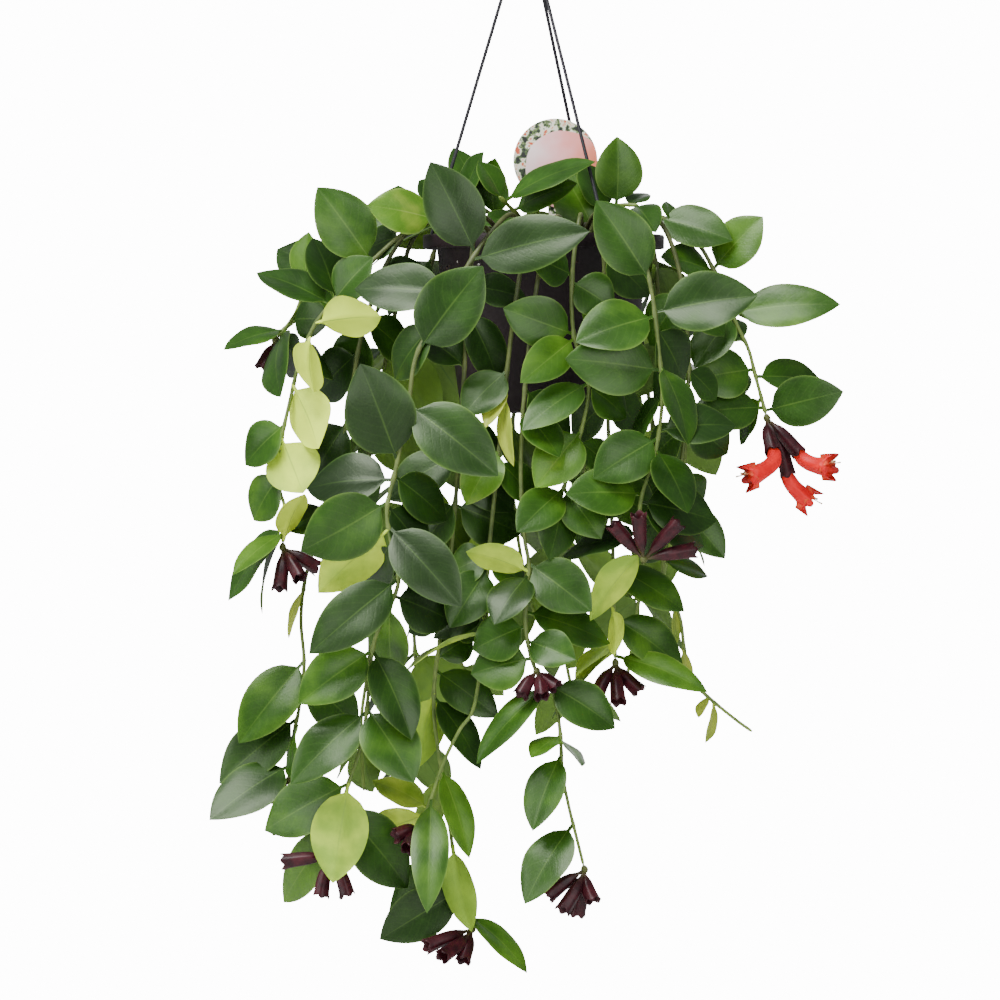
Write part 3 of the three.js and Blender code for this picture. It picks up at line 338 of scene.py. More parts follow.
# Low moulded rings under the foot, where the five drain holes are. The holes aren't cut through.
DRAINS = 5
DRAIN_SIDES = 20
DRAIN_CIRCLE = 34 * MM
DRAIN_RADII = (3.0, 4.4)
DRAIN_HEIGHTS = (1.6, 2.5)
drain_corners = [(0, 1), (0, 0), (1, 0), (1, 1), (0, 1)]
ring_profile = [(DRAIN_RADII[i] * MM, FOOT_Z + DRAIN_HEIGHTS[j] * MM) for i, j in drain_corners]
drains, drain_faces = [], []
for k in range(DRAINS):
    turn = math.radians(360 * k / DRAINS)
    middle = (POT_X + DRAIN_CIRCLE * math.cos(turn), DRAIN_CIRCLE * math.sin(turn))
    add_mesh(drains, drain_faces, *turned(ring_profile, DRAIN_SIDES, middle))
new_piece("pot_drain_rings", drains, drain_faces, pot_plastic, "pot_plastic")


# ---- Compost
# Damp peat heaped to just under the rim, with crumbs and white perlite on it. The stems stand in it.
HOOK_HEIGHT = 36.0  # from the bearing point down to where the three legs would meet, in mm
SOIL_EDGE_Z = (-207 - HOOK_HEIGHT) * MM
SOIL_CROWN_Z = (-203 - HOOK_HEIGHT) * MM
SOIL_RADIUS = TOP_RADIUS - POT_WALL - 1.2 * MM
SOIL_DEPTH = 14 * MM
SOIL_RINGS = 34
SOIL_SIDES = 96

soil_points, soil_faces = [(POT_X, 0, SOIL_CROWN_Z)], []
for i in range(1, SOIL_RINGS + 1):
    radius = SOIL_RADIUS * i / SOIL_RINGS
    for k in range(SOIL_SIDES):
        turn = math.tau * k / SOIL_SIDES
        x, y = POT_X + radius * math.cos(turn), radius * math.sin(turn)
        mound = SOIL_EDGE_Z + (SOIL_CROWN_Z - SOIL_EDGE_Z) * math.cos(radius / SOIL_RADIUS * math.pi / 2)
        lump = 1.1 * noise.noise(Vector((x, y, 0)) * 90) + 0.7 * noise.noise(Vector((x, y, 3)) * 260)
        soil_points.append((x, y, mound + lump * MM))
for x, y, _ in soil_points[-SOIL_SIDES:]:
    soil_points.append((x, y, SOIL_EDGE_Z - SOIL_DEPTH))
for k in range(SOIL_SIDES):
    soil_faces.append((0, 1 + k, 1 + (k + 1) % SOIL_SIDES))
for i in range(SOIL_RINGS):
    inner, outer = 1 + i * SOIL_SIDES, 1 + (i + 1) * SOIL_SIDES
    for k in range(SOIL_SIDES):
        far = (k + 1) % SOIL_SIDES
        soil_faces.append((inner + k, outer + k, outer + far, inner + far))
soil_faces.append(tuple(outer + k for k in reversed(range(SOIL_SIDES))))

peat, tree, surface = shader("damp_peat", {"Roughness": 0.92})
where = own_place(tree)
earth = [(0.3, (0.012, 0.007, 0.004)), (0.55, (0.045, 0.026, 0.015)), (0.75, (0.12, 0.075, 0.045))]
tree.links.new(ramp(tree, clouds(tree, where, 160.0, 8.0), earth), surface.inputs["Base Color"])
dented(tree, surface, clouds(tree, where, 700.0, 4.0), 0.9, 8e-4)
soil_piece = new_piece("compost", soil_points, soil_faces, peat, "compost", ["soil"])

perlite, tree, surface = shader("perlite", {"Roughness": 0.85})
chalk = [(0.3, (0.45, 0.42, 0.38)), (0.6, (0.8, 0.78, 0.74))]
tree.links.new(ramp(tree, clouds(tree, own_place(tree), 900.0), chalk), surface.inputs["Base Color"])


def grown_mesh(source, tree, values):
    """The plain mesh that a tree makes from an object, with the tree's inputs set by their identifiers."""
    modifier = source.modifiers.new(tree.name, "NODES")
    modifier.node_group = tree
    for item in tree.interface.items_tree:
        if item.in_out == "INPUT" and item.name in values:
            modifier[item.identifier] = values[item.name]
    evaluated = source.evaluated_get(bpy.context.evaluated_depsgraph_get())
    mesh = bpy.data.meshes.new_from_object(evaluated)
    source.modifiers.remove(modifier)
    return mesh


INTEGER, MATERIAL, SHAPE = "NodeSocketInt", "NodeSocketMaterial", "NodeSocketGeometry"
crumbs, given, put = group_tree(
    "GeometryNodeTree", "crumbs_on_top",
    [("Geometry", SHAPE, None), ("Count", FLOAT, 100.0), ("Smallest", FLOAT, 0.5),
     ("Largest", FLOAT, 1.5), ("Seed", INTEGER, 1), ("Finish", MATERIAL, None)],
    [("Geometry", SHAPE)],
)
UPRIGHT = 0.4  # crumbs lie where the surface's normal rises more than this
FULL_TURN = 6.28  # near enough, for what is turned by chance
seed = given.outputs["Seed"]
facing = new_node(crumbs, "GeometryNodeInputNormal").outputs[0]
upward = new_node(crumbs, "ShaderNodeSeparateXYZ", {0: facing}).outputs["Z"]
on_top = new_node(crumbs, "FunctionNodeCompare", {0: upward, 1: UPRIGHT}, operation="GREATER_THAN")
spread = {"Mesh": given.outputs["Geometry"], "Selection": on_top.outputs[0],
          "Density": given.outputs["Count"], "Seed": seed}
spots = new_node(crumbs, "GeometryNodeDistributePointsOnFaces", spread).outputs["Points"]
grain = new_node(crumbs, "GeometryNodeMeshIcoSphere", {"Radius": 0.5, "Subdivisions": 1})
angles = {0: (0, 0, 0), 1: (FULL_TURN,) * 3, "Seed": seed}
spin = new_node(crumbs, "FunctionNodeRandomValue", angles, data_type="FLOAT_VECTOR")
widths = {2: given.outputs["Smallest"], 3: given.outputs["Largest"], "Seed": seed}
bulk = new_node(crumbs, "FunctionNodeRandomValue", widths, data_type="FLOAT").outputs[1]
flat = maths(crumbs, "MULTIPLY", bulk, 0.65)
squat = new_node(crumbs, "ShaderNodeCombineXYZ", {0: bulk, 1: bulk, 2: flat})
placed = {"Points": spots, "Instance": grain.outputs["Mesh"], "Rotation": spin.outputs[0],
          "Scale": squat.outputs[0]}
strewn = new_node(crumbs, "GeometryNodeInstanceOnPoints", placed)


def made_real(tree, shape, finish, put):
    """Ends a tree: its instances become real and take the finish."""
    real = new_node(tree, "GeometryNodeRealizeInstances", {0: shape}).outputs[0]
    coated = new_node(tree, "GeometryNodeSetMaterial", {"Geometry": real, "Material": finish})
    tree.links.new(coated.outputs[0], put.inputs[0])


made_real(crumbs, strewn.outputs[0], given.outputs["Finish"], put)
for name, finish, count, low, high, seed in [
    ("compost_crumbs", peat, 90000.0, 1.2, 3.6, 4),
    ("perlite_grains", perlite, 9000.0, 1.2, 3.0, 9),
]:
    sizes = {"Count": count, "Smallest": low * MM, "Largest": high * MM, "Seed": seed, "Finish": finish}
    finish_piece(name, grown_mesh(soil_piece, crumbs, sizes), finish)


# ---- Hanger
# One moulded hook whose collar takes the heads of three plastic legs. Each leg passes through a hole in the
# pot's rim and a round stop under it carries the pot.
rod, given, put = group_tree(
    "GeometryNodeTree", "round_rod",
    [("Geometry", SHAPE, None), ("Sides", INTEGER, 16), ("Finish", MATERIAL, None)],
    [("Geometry", SHAPE)],
)
section = {"Resolution": given.outputs["Sides"], "Radius": 1.0}
circle = new_node(rod, "GeometryNodeCurvePrimitiveCircle", section).outputs[0]
thickness = new_node(rod, "GeometryNodeInputRadius").outputs[0]
path = {"Curve": given.outputs["Geometry"], "Profile Curve": circle, "Scale": thickness, "Fill Caps": True}
skin = new_node(rod, "GeometryNodeCurveToMesh", path).outputs[0]
soft = new_node(rod, "GeometryNodeSetShadeSmooth", {"Geometry": skin})
made_real(rod, soft.outputs[0], given.outputs["Finish"], put)


def smooth_line(route, step):
    """Points every step along a smooth curve that passes through the route's points."""
    given_points = [np.asarray(p, float) for p in route]
    ends = [2 * given_points[0] - given_points[1], *given_points, 2 * given_points[-1] - given_points[-2]]
    line = []
    for a, b, c, d in zip(ends, ends[1:], ends[2:], ends[3:]):
        pieces = max(1, round(float(np.linalg.norm(c - b)) / step))
        for i in range(pieces):
            t = i / pieces
            line.append(0.5 * (2 * b + (c - a) * t + (2 * a - 5 * b + 4 * c - d) * t**2
                               + (3 * b - a - 3 * c + d) * t**3))
    line.append(given_points[-1])
    return np.array(line)


def rod_mesh(line, radii, sides, finish):
    """A round rod along a line in metres, with a radius at each of its points."""
    curve = bpy.data.curves.new("rod_path", "CURVE")
    curve.dimensions = "3D"
    spline = curve.splines.new("POLY")
    spline.points.add(len(line) - 1)
    spline.points.foreach_set("co", np.column_stack([line, np.ones(len(line))]).ravel())
    spline.points.foreach_set("radius", radii)
    holder = new_object("rod_path", curve)
    mesh = grown_mesh(holder, rod, {"Sides": sides, "Finish": finish})
    bpy.data.objects.remove(holder)
    bpy.data.curves.remove(curve)
    return mesh


def lowered(points):
    """Points in mm from the legs' meeting point, as metres in the plant's own frame."""
    return (np.asarray(points, float) - (0, 0, HOOK_HEIGHT)) * MM


LEG_RADIUS = 1.1
LEG_STEPS = 40
LEG_SIDES = 20
LEG_RIM_RADIUS = 71.0
LEG_AZIMUTHS = {"left": 183, "front": -57, "back": 63}
LEG_HEAD_RADIUS = 4.2
LEG_FOOT_Z = -199.1
COLLAR_BOTTOM = -18.0
LEG_TOP = COLLAR_BOTTOM + 8
STOP_GAP = 3.9  # from the rim down to the middle of a leg's stop
STOP_SHAPE = [  # distance along the leg and radius
    (-1.9, 1.2), (-1.6, 1.6), (-0.8, 1.95), (0, 2.05), (0.8, 1.95), (1.6, 1.3), (1.9, 0.5),
]
hanger_plastic = plastic("hanger_plastic", (0.016, 0.016, 0.020), (0.2, 0.2, 0.2), 0.05, 0.42, 0.12)
for side, azimuth in LEG_AZIMUTHS.items():
    turn = math.radians(azimuth)
    foot_x, foot_y = POT_X / MM + LEG_RIM_RADIUS * math.cos(turn), LEG_RIM_RADIUS * math.sin(turn)
    foot = np.array([foot_x, foot_y, LEG_FOOT_Z])
    out = np.array([foot_x, foot_y, 0]) / math.hypot(foot_x, foot_y)
    head = out * LEG_HEAD_RADIUS + np.array([0, 0, LEG_TOP])
    along = (foot - head) / np.linalg.norm(foot - head)
    stop = foot + along * STOP_GAP
    line = [head + (stop - head) * i / LEG_STEPS for i in range(LEG_STEPS + 1)]
    line += [stop + along * (distance - STOP_SHAPE[0][0]) for distance, _ in STOP_SHAPE]
    radii = [LEG_RADIUS] * (LEG_STEPS + 1) + [radius for _, radius in STOP_SHAPE]
    mesh = rod_mesh(lowered(line), np.array(radii) * MM, LEG_SIDES, hanger_plastic)
    finish_piece(f"leg_{side}", mesh, hanger_plastic, [f"hanger_leg_{side}"])

ROD_RADIUS = 2.5
ROD_SIDES = 28
HOOK_INNER = 11.0
HOOK_ARC = range(-25, 186, 21)  # the bend, in degrees from the right over the top
ROD_STEP = 1.2
ROD_TIP = (0.97, 0.88, 0.7, 0.4)
bend = HOOK_INNER + ROD_RADIUS
hook_route = [(0, 0, -7), (0, 0, 2), (3, 0, 7), (8.5, 0, 12)]
for degrees in HOOK_ARC:
    turn = math.radians(degrees)
    hook_route.append((bend * math.cos(turn), 0, HOOK_HEIGHT - HOOK_INNER + bend * math.sin(turn)))
hook_route.append((-bend - 2.5, 0, HOOK_HEIGHT - HOOK_INNER - 6))
line = smooth_line(lowered(hook_route), ROD_STEP * MM)
radii = np.full(len(line), ROD_RADIUS * MM)
radii[-len(ROD_TIP):] *= ROD_TIP
mesh = rod_mesh(line, radii, ROD_SIDES, hanger_plastic)
finish_piece("hook_bend", mesh, hanger_plastic, ["hanger_hook"])

COLLAR_PROFILE = [
    (0, -18), (3.0, -18), (7.2, -17.8), (7.9, -17.2), (8, -16), (7.6, -14.5), (7.6, -11.5), (8, -10.2),
    (7.8, -9), (6.4, -7.2), (4.6, -5), (3.9, -4), (0, -4),
]
COLLAR_SIDES = 48
collar = turned([(r * MM, (z - HOOK_HEIGHT) * MM) for r, z in COLLAR_PROFILE], COLLAR_SIDES, (0, 0))
new_piece("hook_collar", *collar, hanger_plastic, "hanger_plastic", ["hanger_hook"])


# ---- Plant tag
# A round card of printed plastic, cut in one piece with the stake that holds it in the compost. Its print is
# a plain pattern: a speckled green and white band at the upper left and a pink field with soft darker blots.
TAG_RADIUS = 26.5
TAG_PLACE = (18, 8, -151)
TAG_TURNS = 72
TAG_LAYERS = [(0.25, -0.45), (0, -0.25), (0, 0.25), (0.25, 0.45)]  # inset from the outline and depth
STAKE_Z = -226
STAKE_NECK = 5  # half its width where it meets the card

outline = []
for k in range(TAG_TURNS):
    turn = math.tau * (k + 0.5) / TAG_TURNS - math.pi / 2
    x, z = TAG_RADIUS * math.cos(turn), TAG_RADIUS * math.sin(turn)
    if z > 0 or abs(x) > STAKE_NECK:
        outline.append((x, z))
shaft = STAKE_Z - TAG_PLACE[2]
stake = [(3, shaft + 8), (4.6, -TAG_RADIUS - 4), (STAKE_NECK, -TAG_RADIUS + 0.6)]
outline += [(-x, z) for x, z in reversed(stake)] + [(0, shaft)] + stake

count = len(outline)
tag_points = []
for inset, depth in TAG_LAYERS:
    for i, (x, z) in enumerate(outline):
        edge = np.subtract(outline[(i + 1) % count], outline[i - 1])
        inward = np.array([-edge[1], edge[0]]) / np.linalg.norm(edge)
        spot = (x + inward[0] * inset, depth, z + inward[1] * inset)
        tag_points.append(lowered(np.add(spot, TAG_PLACE)))
tag_faces = [tuple(range(count)), tuple(reversed(range(3 * count, 4 * count)))]
for a in range(0, 3 * count, count):
    for k in range(count):
        far = (k + 1) % count
        tag_faces.append((a + k, a + count + k, a + count + far, a + far))

card, tree, surface = shader("tag_card", {"Roughness": 0.28, "Coat Weight": 0.3})
place = {"Vector": own_place(tree), "Location": tuple(-lowered(TAG_PLACE))}
centred = new_node(tree, "ShaderNodeMapping", place).outputs[0]
axes = new_node(tree, "ShaderNodeSeparateXYZ", {0: centred})
across, upward = (maths(tree, "DIVIDE", axes.outputs[key], TAG_RADIUS * MM) for key in "XZ")
square = maths(tree, "MULTIPLY_ADD", upward, upward, maths(tree, "MULTIPLY", across, across))
distance = maths(tree, "SQRT", square)
blot = clouds(tree, centred, 60.0)
rightward = maths(tree, "MULTIPLY_ADD", across, 0.42, 0.08)
rosy = maths(tree, "MULTIPLY_ADD", blot, 0.7, rightward)
pink = ramp(tree, rosy, [
    (0.05, (0.97, 0.86, 0.85)),
    (0.32, (0.97, 0.58, 0.59)),
    (0.55, (0.95, 0.38, 0.37)),
    (0.85, (0.92, 0.25, 0.15)),
])
leafy = ramp(tree, clouds(tree, centred, 230.0, 6.0), [
    (0.38, (0.006, 0.010, 0.006)),
    (0.44, (0.04, 0.07, 0.03)),
    (0.48, (0.16, 0.24, 0.06)),
    (0.52, (0.80, 0.80, 0.72)),
    (0.58, (0.85, 0.78, 0.55)),
    (0.63, (0.60, 0.10, 0.04)),
])
corner = maths(tree, "MULTIPLY_ADD", maths(tree, "SUBTRACT", upward, across), 0.24, distance)
wander = maths(tree, "MULTIPLY_ADD", blot, 0.16, corner)
band = ramp(tree, wander, [(0.93, (0, 0, 0)), (0.95, (1, 1, 1))])
tree.links.new(mixed_colour(tree, band, pink, leafy), surface.inputs["Base Color"])
new_piece("tag", tag_points, tag_faces, card, "tag_card", ["plant_tag"], smooth=False)


# ---- Stems
# Green runners, woody at the foot, that root in the compost and trail over the rim. A route is in mm from
# the legs' meeting point. A leaf is [base x, base z, tip x, tip z, lean, turn, width]: its ends from the
# front, how far its tip stands back, how far its face is turned up. "tones" runs from 0, dark, to 9, pale.
# A tone is partly the leaf's age, old to young, and partly painted light and shade, as light falls on each
# leaf.
VINES = {
    "vine_left_front": {"tones": "523439939845964436", "route": [
        [-22, -16, -219], [-22, -16, -199], [-40, -25, -186], [-72, -32, -195], [-96, -34, -214],
        [-121, -34, -240], [-134, -33, -257], [-143, -32, -280], [-148, -32, -300], [-154, -32, -329],
        [-155, -33, -357], [-152, -34, -370], [-153, -35, -392],
    ], "leaves": [
        [-97, -215, -131, -169, -8, 8, 37], [-78, -200, -102, -208, 14, 30, 24],
        [-119, -239, -134, -200, 16, 35, 32], [-121, -240, -97, -213, -14, 30, 29],
        [-122, -241, -170, -222, 22, 50, 30], [-131, -254, -91, -250, -22, 150, 30],
        [-138, -262, -134, -298, -26, 130, 28], [-142, -274, -122, -286, 30, 60, 26],
        [-147, -293, -130, -333, -20, 140, 36], [-153, -326, -140, -361, -14, 150, 36],
        [-150, -318, -177, -343, 12, 20, 33], [-155, -350, -172, -378, 18, 35, 30],
        [-153, -390, -140, -360, -12, 138, 21], [-153, -384, -184, -411, -26, 50, 20],
        [-153, -380, -188, -428, 14, 20, 35], [-153, -382, -170, -436, 42, 60, 24],
        [-152, -384, -124, -371, 24, 40, 28], [-56, -190, -100, -180, -12, 20, 30],
    ]},
    "vine_left_back": {"tones": "4463446344", "route": [
        [-28, 16, -219], [-28, 16, -199], [-58, 22, -184], [-90, 24, -200], [-125, 22, -224],
        [-139, 20, -232], [-147, 18, -249], [-157, 16, -262],
    ], "leaves": [
        [-90, -200, -82, -165, 22, 35, 34], [-104, -209, -126, -180, 26, 40, 32],
        [-139, -232, -138, -196, -8, 40, 26], [-124, -224, -158, -206, 14, 50, 34],
        [-126, -226, -112, -262, -12, 30, 33], [-153, -257, -191, -269, -18, 35, 22],
        [-156, -259, -130, -240, 26, 100, 26], [-149, -251, -124, -251, 20, 30, 26],
        [-156, -261, -145, -286, 22, 25, 24], [-153, -257, -157, -299, -18, 60, 32],
    ]},
    "vine_left_low": {"tones": "444224495534342", "route": [
        [-30, -2, -219], [-30, -2, -199], [-62, -14, -188], [-86, -14, -212], [-104, -12, -262],
        [-114, -10, -320], [-128, -8, -375], [-139, -10, -413], [-142, -14, -440], [-140, -16, -468],
        [-143, -18, -495], [-147, -18, -515], [-149, -18, -538],
    ], "leaves": [
        [-100, -250, -72, -278, 16, 40, 30], [-103, -258, -112, -292, 32, 50, 32],
        [-112, -310, -86, -330, 26, 60, 34], [-106, -272, -133, -300, 14, 30, 34],
        [-113, -315, -135, -352, 10, 25, 34], [-118, -335, -96, -372, 18, 30, 32],
        [-128, -375, -112, -408, 28, 40, 30], [-140, -420, -150, -452, -6, 72, 16],
        [-140, -466, -181, -517, -12, 12, 34], [-141, -478, -106, -508, 20, 20, 34],
        [-144, -503, -194, -543, 10, 20, 34], [-144, -506, -146, -540, -24, 75, 28],
        [-148, -531, -199, -565, -14, 12, 36], [-148, -532, -132, -566, 18, 40, 28],
        [-92, -228, -63, -219, 4, 20, 25],
    ]},
    "vine_front_long": {"tones": "2233214812225345746423353", "route": [
        [-2, -46, -219], [-2, -46, -199], [-10, -80, -187], [-22, -98, -198], [-36, -108, -218],
        [-55, -112, -250], [-69, -114, -276], [-74, -116, -308], [-81, -118, -343], [-87, -118, -370],
        [-85, -118, -388], [-80, -116, -416], [-90, -113, -440], [-96, -111, -458], [-100, -109, -498],
        [-104, -107, -520], [-111, -105, -541], [-119, -103, -570], [-121, -101, -584],
    ], "leaves": [
        [-32, -212, -60, -155, -6, 6, 37], [-34, -216, 38, -198, -20, 18, 37],
        [-67, -273, -28, -220, -12, 12, 42], [-74, -306, -18, -350, -16, 14, 40],
        [-80, -341, -103, -281, -18, 8, 45], [-84, -352, -138, -357, 24, 35, 38],
        [-86, -366, -140, -397, -6, 10, 42], [-86, -382, -130, -422, 12, 140, 34],
        [-84, -380, -41, -431, -16, 12, 36], [-87, -368, -62, -402, 22, 35, 32],
        [-80, -414, -135, -460, -20, 12, 34], [-82, -424, -47, -440, 18, 20, 35],
        [-96, -458, -142, -491, -10, 15, 34], [-95, -457, -71, -513, -14, 25, 32],
        [-100, -496, -147, -541, -8, 25, 33], [-100, -494, -70, -540, -16, 18, 37],
        [-110, -540, -121, -603, -10, 172, 36], [-111, -541, -164, -571, 22, 18, 36],
        [-118, -569, -153, -617, 26, 30, 29], [-113, -556, -74, -607, 16, 20, 38],
        [-47, -236, -108, -233, 20, 25, 34], [-58, -256, -84, -290, 20, 40, 32],
        [-84, -350, -50, -378, 26, 30, 30], [-85, -430, -84, -474, 26, 25, 28],
        [-84, -392, -104, -424, 36, 35, 28],
    ]},
    "vine_front_low_left": {"tones": "2233243344735666452324", "route": [
        [-17, -40, -219], [-17, -40, -199], [-30, -84, -190], [-36, -92, -230], [-40, -90, -300],
        [-45, -84, -370], [-51, -80, -430], [-57, -79, -471], [-58, -79, -500], [-54, -79, -530],
        [-48, -79, -571], [-44, -80, -595], [-35, -80, -630],
    ], "leaves": [
        [-36, -232, 0, -239, 8, 30, 24], [-38, -248, -17, -292, 10, 25, 28],
        [-39, -282, -66, -262, 10, 40, 30], [-41, -310, -70, -330, 14, 35, 30],
        [-41, -316, -20, -348, 12, 30, 28], [-45, -365, -66, -398, 14, 40, 30],
        [-46, -368, -4, -386, 14, 15, 36], [-50, -425, -74, -448, 16, 35, 30],
        [-52, -435, -26, -447, 14, 30, 30], [-57, -472, -18, -500, -10, 35, 26],
        [-58, -486, -69, -532, 10, 160, 28], [-58, -488, -28, -532, -14, 60, 24],
        [-54, -528, -82, -524, 18, 80, 26], [-51, -532, -36, -588, -12, 30, 21],
        [-53, -536, -62, -576, 20, 135, 26], [-48, -580, -35, -634, -16, 150, 23],
        [-44, -588, -87, -626, 24, 35, 30], [-38, -623, 1, -658, -12, 30, 22],
        [-40, -608, -92, -639, 6, 20, 32], [-43, -336, -88, -364, 8, 30, 32],
        [-44, -340, -8, -372, 14, 35, 30], [-57, -464, -34, -449, 10, 30, 24],
    ]},
    "vine_front_low_inner": {"tones": "49965444745782", "route": [
        [12, -52, -219], [12, -52, -199], [6, -84, -189], [-4, -94, -222], [-12, -96, -280],
        [-18, -94, -340], [-24, -93, -400], [-27, -93, -450], [-33, -94, -493], [-42, -95, -508],
        [-52, -96, -528], [-59, -96, -548], [-65, -95, -566],
    ], "leaves": [
        [-12, -284, -40, -312, -8, 30, 30], [-13, -293, -26, -320, -12, 60, 16],
        [-14, -300, -10, -344, -16, 55, 16], [-17, -334, -38, -368, -12, 25, 28],
        [-18, -340, 6, -368, -10, 40, 28], [-24, -396, -2, -420, 10, 40, 28],
        [-24, -400, -48, -410, 14, 30, 28], [-25, -408, -48, -444, -8, 30, 30],
        [-27, -446, -77, -470, -16, 68, 34], [-28, -455, -4, -470, 16, 40, 28],
        [-60, -551, -62, -620, -24, 20, 24], [-62, -556, -96, -539, 6, 55, 30],
        [-63, -560, -99, -577, 16, 140, 28], [-26, -436, -74, -457, -2, 20, 32],
    ]},
    "vine_front_centre": {"tones": "3437425545445544", "route": [
        [24, -46, -219], [24, -46, -199], [18, -86, -189], [8, -102, -220], [0, -106, -280],
        [-4, -106, -340], [-2, -107, -385], [1, -108, -407], [-1, -110, -443], [5, -111, -470],
        [15, -112, -482], [20, -112, -505], [22, -111, -535], [26, -110, -556], [30, -108, -572],
        [35, -106, -592],
    ], "leaves": [
        [-1, -296, 27, -330, 14, 35, 30], [-2, -310, 20, -338, -10, 40, 28],
        [-3, -362, 22, -392, 10, 45, 28], [1, -408, -38, -396, -10, 140, 24],
        [1, -405, 40, -434, -12, 12, 34], [1, -410, -21, -441, -20, 35, 30],
        [-1, -442, -34, -458, 12, 20, 32], [3, -463, -35, -473, 4, 20, 34], [0, -452, 30, -464, -16, 15, 26],
        [0, -434, 52, -454, 16, 40, 30], [12, -480, -33, -527, -14, 48, 25],
        [14, -481, 55, -506, -10, 25, 31], [20, -512, 2, -524, -14, 60, 22],
        [20, -513, 34, -530, -16, 55, 22], [21, -522, 3, -570, -10, 35, 29],
        [29, -566, -2, -615, -12, 34, 32],
    ]},
    "vine_front_short": {"tones": "444544644434", "route": [
        [34, -42, -219], [34, -42, -199], [33, -84, -188], [28, -98, -225], [29, -102, -262],
        [38, -104, -292], [34, -104, -320], [22, -102, -360],
    ], "leaves": [
        [28, -226, 2, -214, -14, 50, 28], [28, -230, 54, -246, 10, 40, 30],
        [29, -261, -15, -246, -12, 22, 32], [29, -264, -4, -292, -16, 25, 26],
        [38, -292, -3, -321, -16, 30, 26], [37, -294, 62, -314, 8, 40, 30], [33, -322, 5, -357, -14, 8, 32],
        [31, -328, 58, -352, 6, 40, 28], [23, -357, 46, -389, -10, 15, 28], [23, -357, -6, -384, 14, 35, 28],
        [22, -359, 14, -402, 6, 30, 30], [24, -350, 60, -374, 16, 30, 28],
    ]},
    "vine_right_front": {"tones": "434443342352327", "route": [
        [48, -36, -219], [48, -36, -199], [64, -74, -188], [72, -102, -212], [78, -108, -240],
        [82, -110, -275], [84, -111, -300], [80, -111, -333], [71, -110, -363], [70, -109, -378],
        [71, -110, -393], [72, -114, -399.5],
    ], "leaves": [
        [76, -229, 43, -179, -8, 14, 36], [78, -248, 143, -238, -8, 20, 39],
        [79, -251, 30, -267, -18, 30, 38], [83, -284, 24, -277, -14, 10, 40],
        [82, -280, 101, -330, -16, 55, 33], [80, -258, 98, -292, 22, 35, 32],
        [83, -300, 64, -332, 16, 45, 28], [81, -326, 41, -351, -12, 12, 34],
        [82, -322, 130, -318, -12, 45, 36], [80, -332, 100, -373, -14, 45, 34],
        [71, -361, 24, -361, -16, 28, 34], [71, -366, 118, -378, 18, 22, 34],
        [71, -370, 112, -393, 28, 40, 32], [71, -384, 22, -400, 14, 62, 32],
        [71, -396, 38, -439, 4, 145, 25],
    ]},
    "vine_right_far": {"tones": "445454544345", "route": [
        [50, -8, -219], [50, -8, -199], [80, -15, -187], [104, -19, -200], [118, -20, -222],
        [131, -21, -253], [139, -22, -270], [143, -22, -285], [147, -22, -300], [150, -22, -311],
    ], "leaves": [
        [82, -189, 129, -202, -14, 26, 30], [92, -193, 88, -177, 8, 50, 16],
        [117, -221, 148, -187, -6, 25, 32], [118, -223, 84, -212, -16, 30, 32],
        [129, -248, 196, -241, -12, 25, 30], [130, -250, 105, -282, -20, 30, 28],
        [142, -282, 105, -289, -16, 12, 33], [136, -265, 116, -254, 20, 40, 26],
        [144, -287, 188, -291, 18, 40, 28], [149, -308, 198, -297, -4, 25, 32],
        [148, -308, 102, -311, -16, 25, 30], [147, -301, 133, -330, 16, 40, 26],
    ]},
    "vine_right_low": {"tones": "444344458888343", "route": [
        [54, -24, -219], [54, -24, -199], [80, -42, -188], [96, -50, -225], [101, -54, -290],
        [94, -52, -360], [85, -50, -408], [90, -49, -424], [96, -48, -440], [99, -47, -462],
        [104, -46, -478], [113, -45, -488], [130, -44, -502], [141, -44, -510],
    ], "leaves": [
        [97, -235, 124, -262, 10, 40, 30], [98, -236, 76, -268, 16, 35, 32],
        [101, -284, 119, -302, 18, 40, 24], [100, -276, 79, -306, 16, 40, 28],
        [95, -348, 106, -374, 14, 35, 30], [93, -368, 124, -401, -6, 20, 26],
        [92, -372, 72, -404, 24, 40, 28], [87, -404, 114, -412, 14, 50, 18],
        [93, -430, 92, -458, -8, 66, 14], [99, -458, 100, -482, -8, 60, 13],
        [113, -487, 107, -501, -6, 55, 11], [118, -491, 112, -517, -8, 62, 13],
        [97, -314, 126, -336, 14, 35, 30], [97, -318, 74, -344, 18, 40, 30],
        [95, -344, 62, -376, 22, 30, 30],
    ]},
    "vine_centre_low": {"tones": "354344854577", "route": [
        [36, -30, -219], [36, -30, -199], [45, -82, -188], [49, -88, -240], [50, -86, -300], [52, -81, -360],
        [54, -77, -410], [54, -76, -440], [55, -75, -464],
    ], "leaves": [
        [49, -212, 76, -238, 6, 30, 32], [49, -224, 34, -256, 4, 70, 20], [50, -296, 70, -322, 12, 40, 30],
        [50, -302, 28, -328, 16, 40, 30], [52, -352, 78, -380, 14, 40, 30], [52, -360, 30, -392, 16, 35, 28],
        [54, -432, 54, -462, -22, 130, 16], [54, -406, 98, -434, -10, 35, 28],
        [54, -438, 98, -470, 8, 28, 30], [55, -462, 112, -483, -6, 40, 24],
        [54, -452, 30, -478, 14, 120, 24], [55, -458, 15, -502, -10, 82, 26],
    ]},
    "shoot_top_left": {"tones": "4443", "route": [
        [-14, 2, -219], [-14, 2, -198], [-24, 0, -184], [-40, -4, -178], [-56, -14, -176],
    ], "leaves": [
        [-22, -187, -20, -150, -14, 40, 28], [-28, -182, -46, -142, 8, 35, 28],
        [-40, -178, -28, -146, 16, 60, 26], [-54, -176, -68, -164, 10, 40, 22],
    ]},
    "shoot_top_centre": {"tones": "4444", "route": [
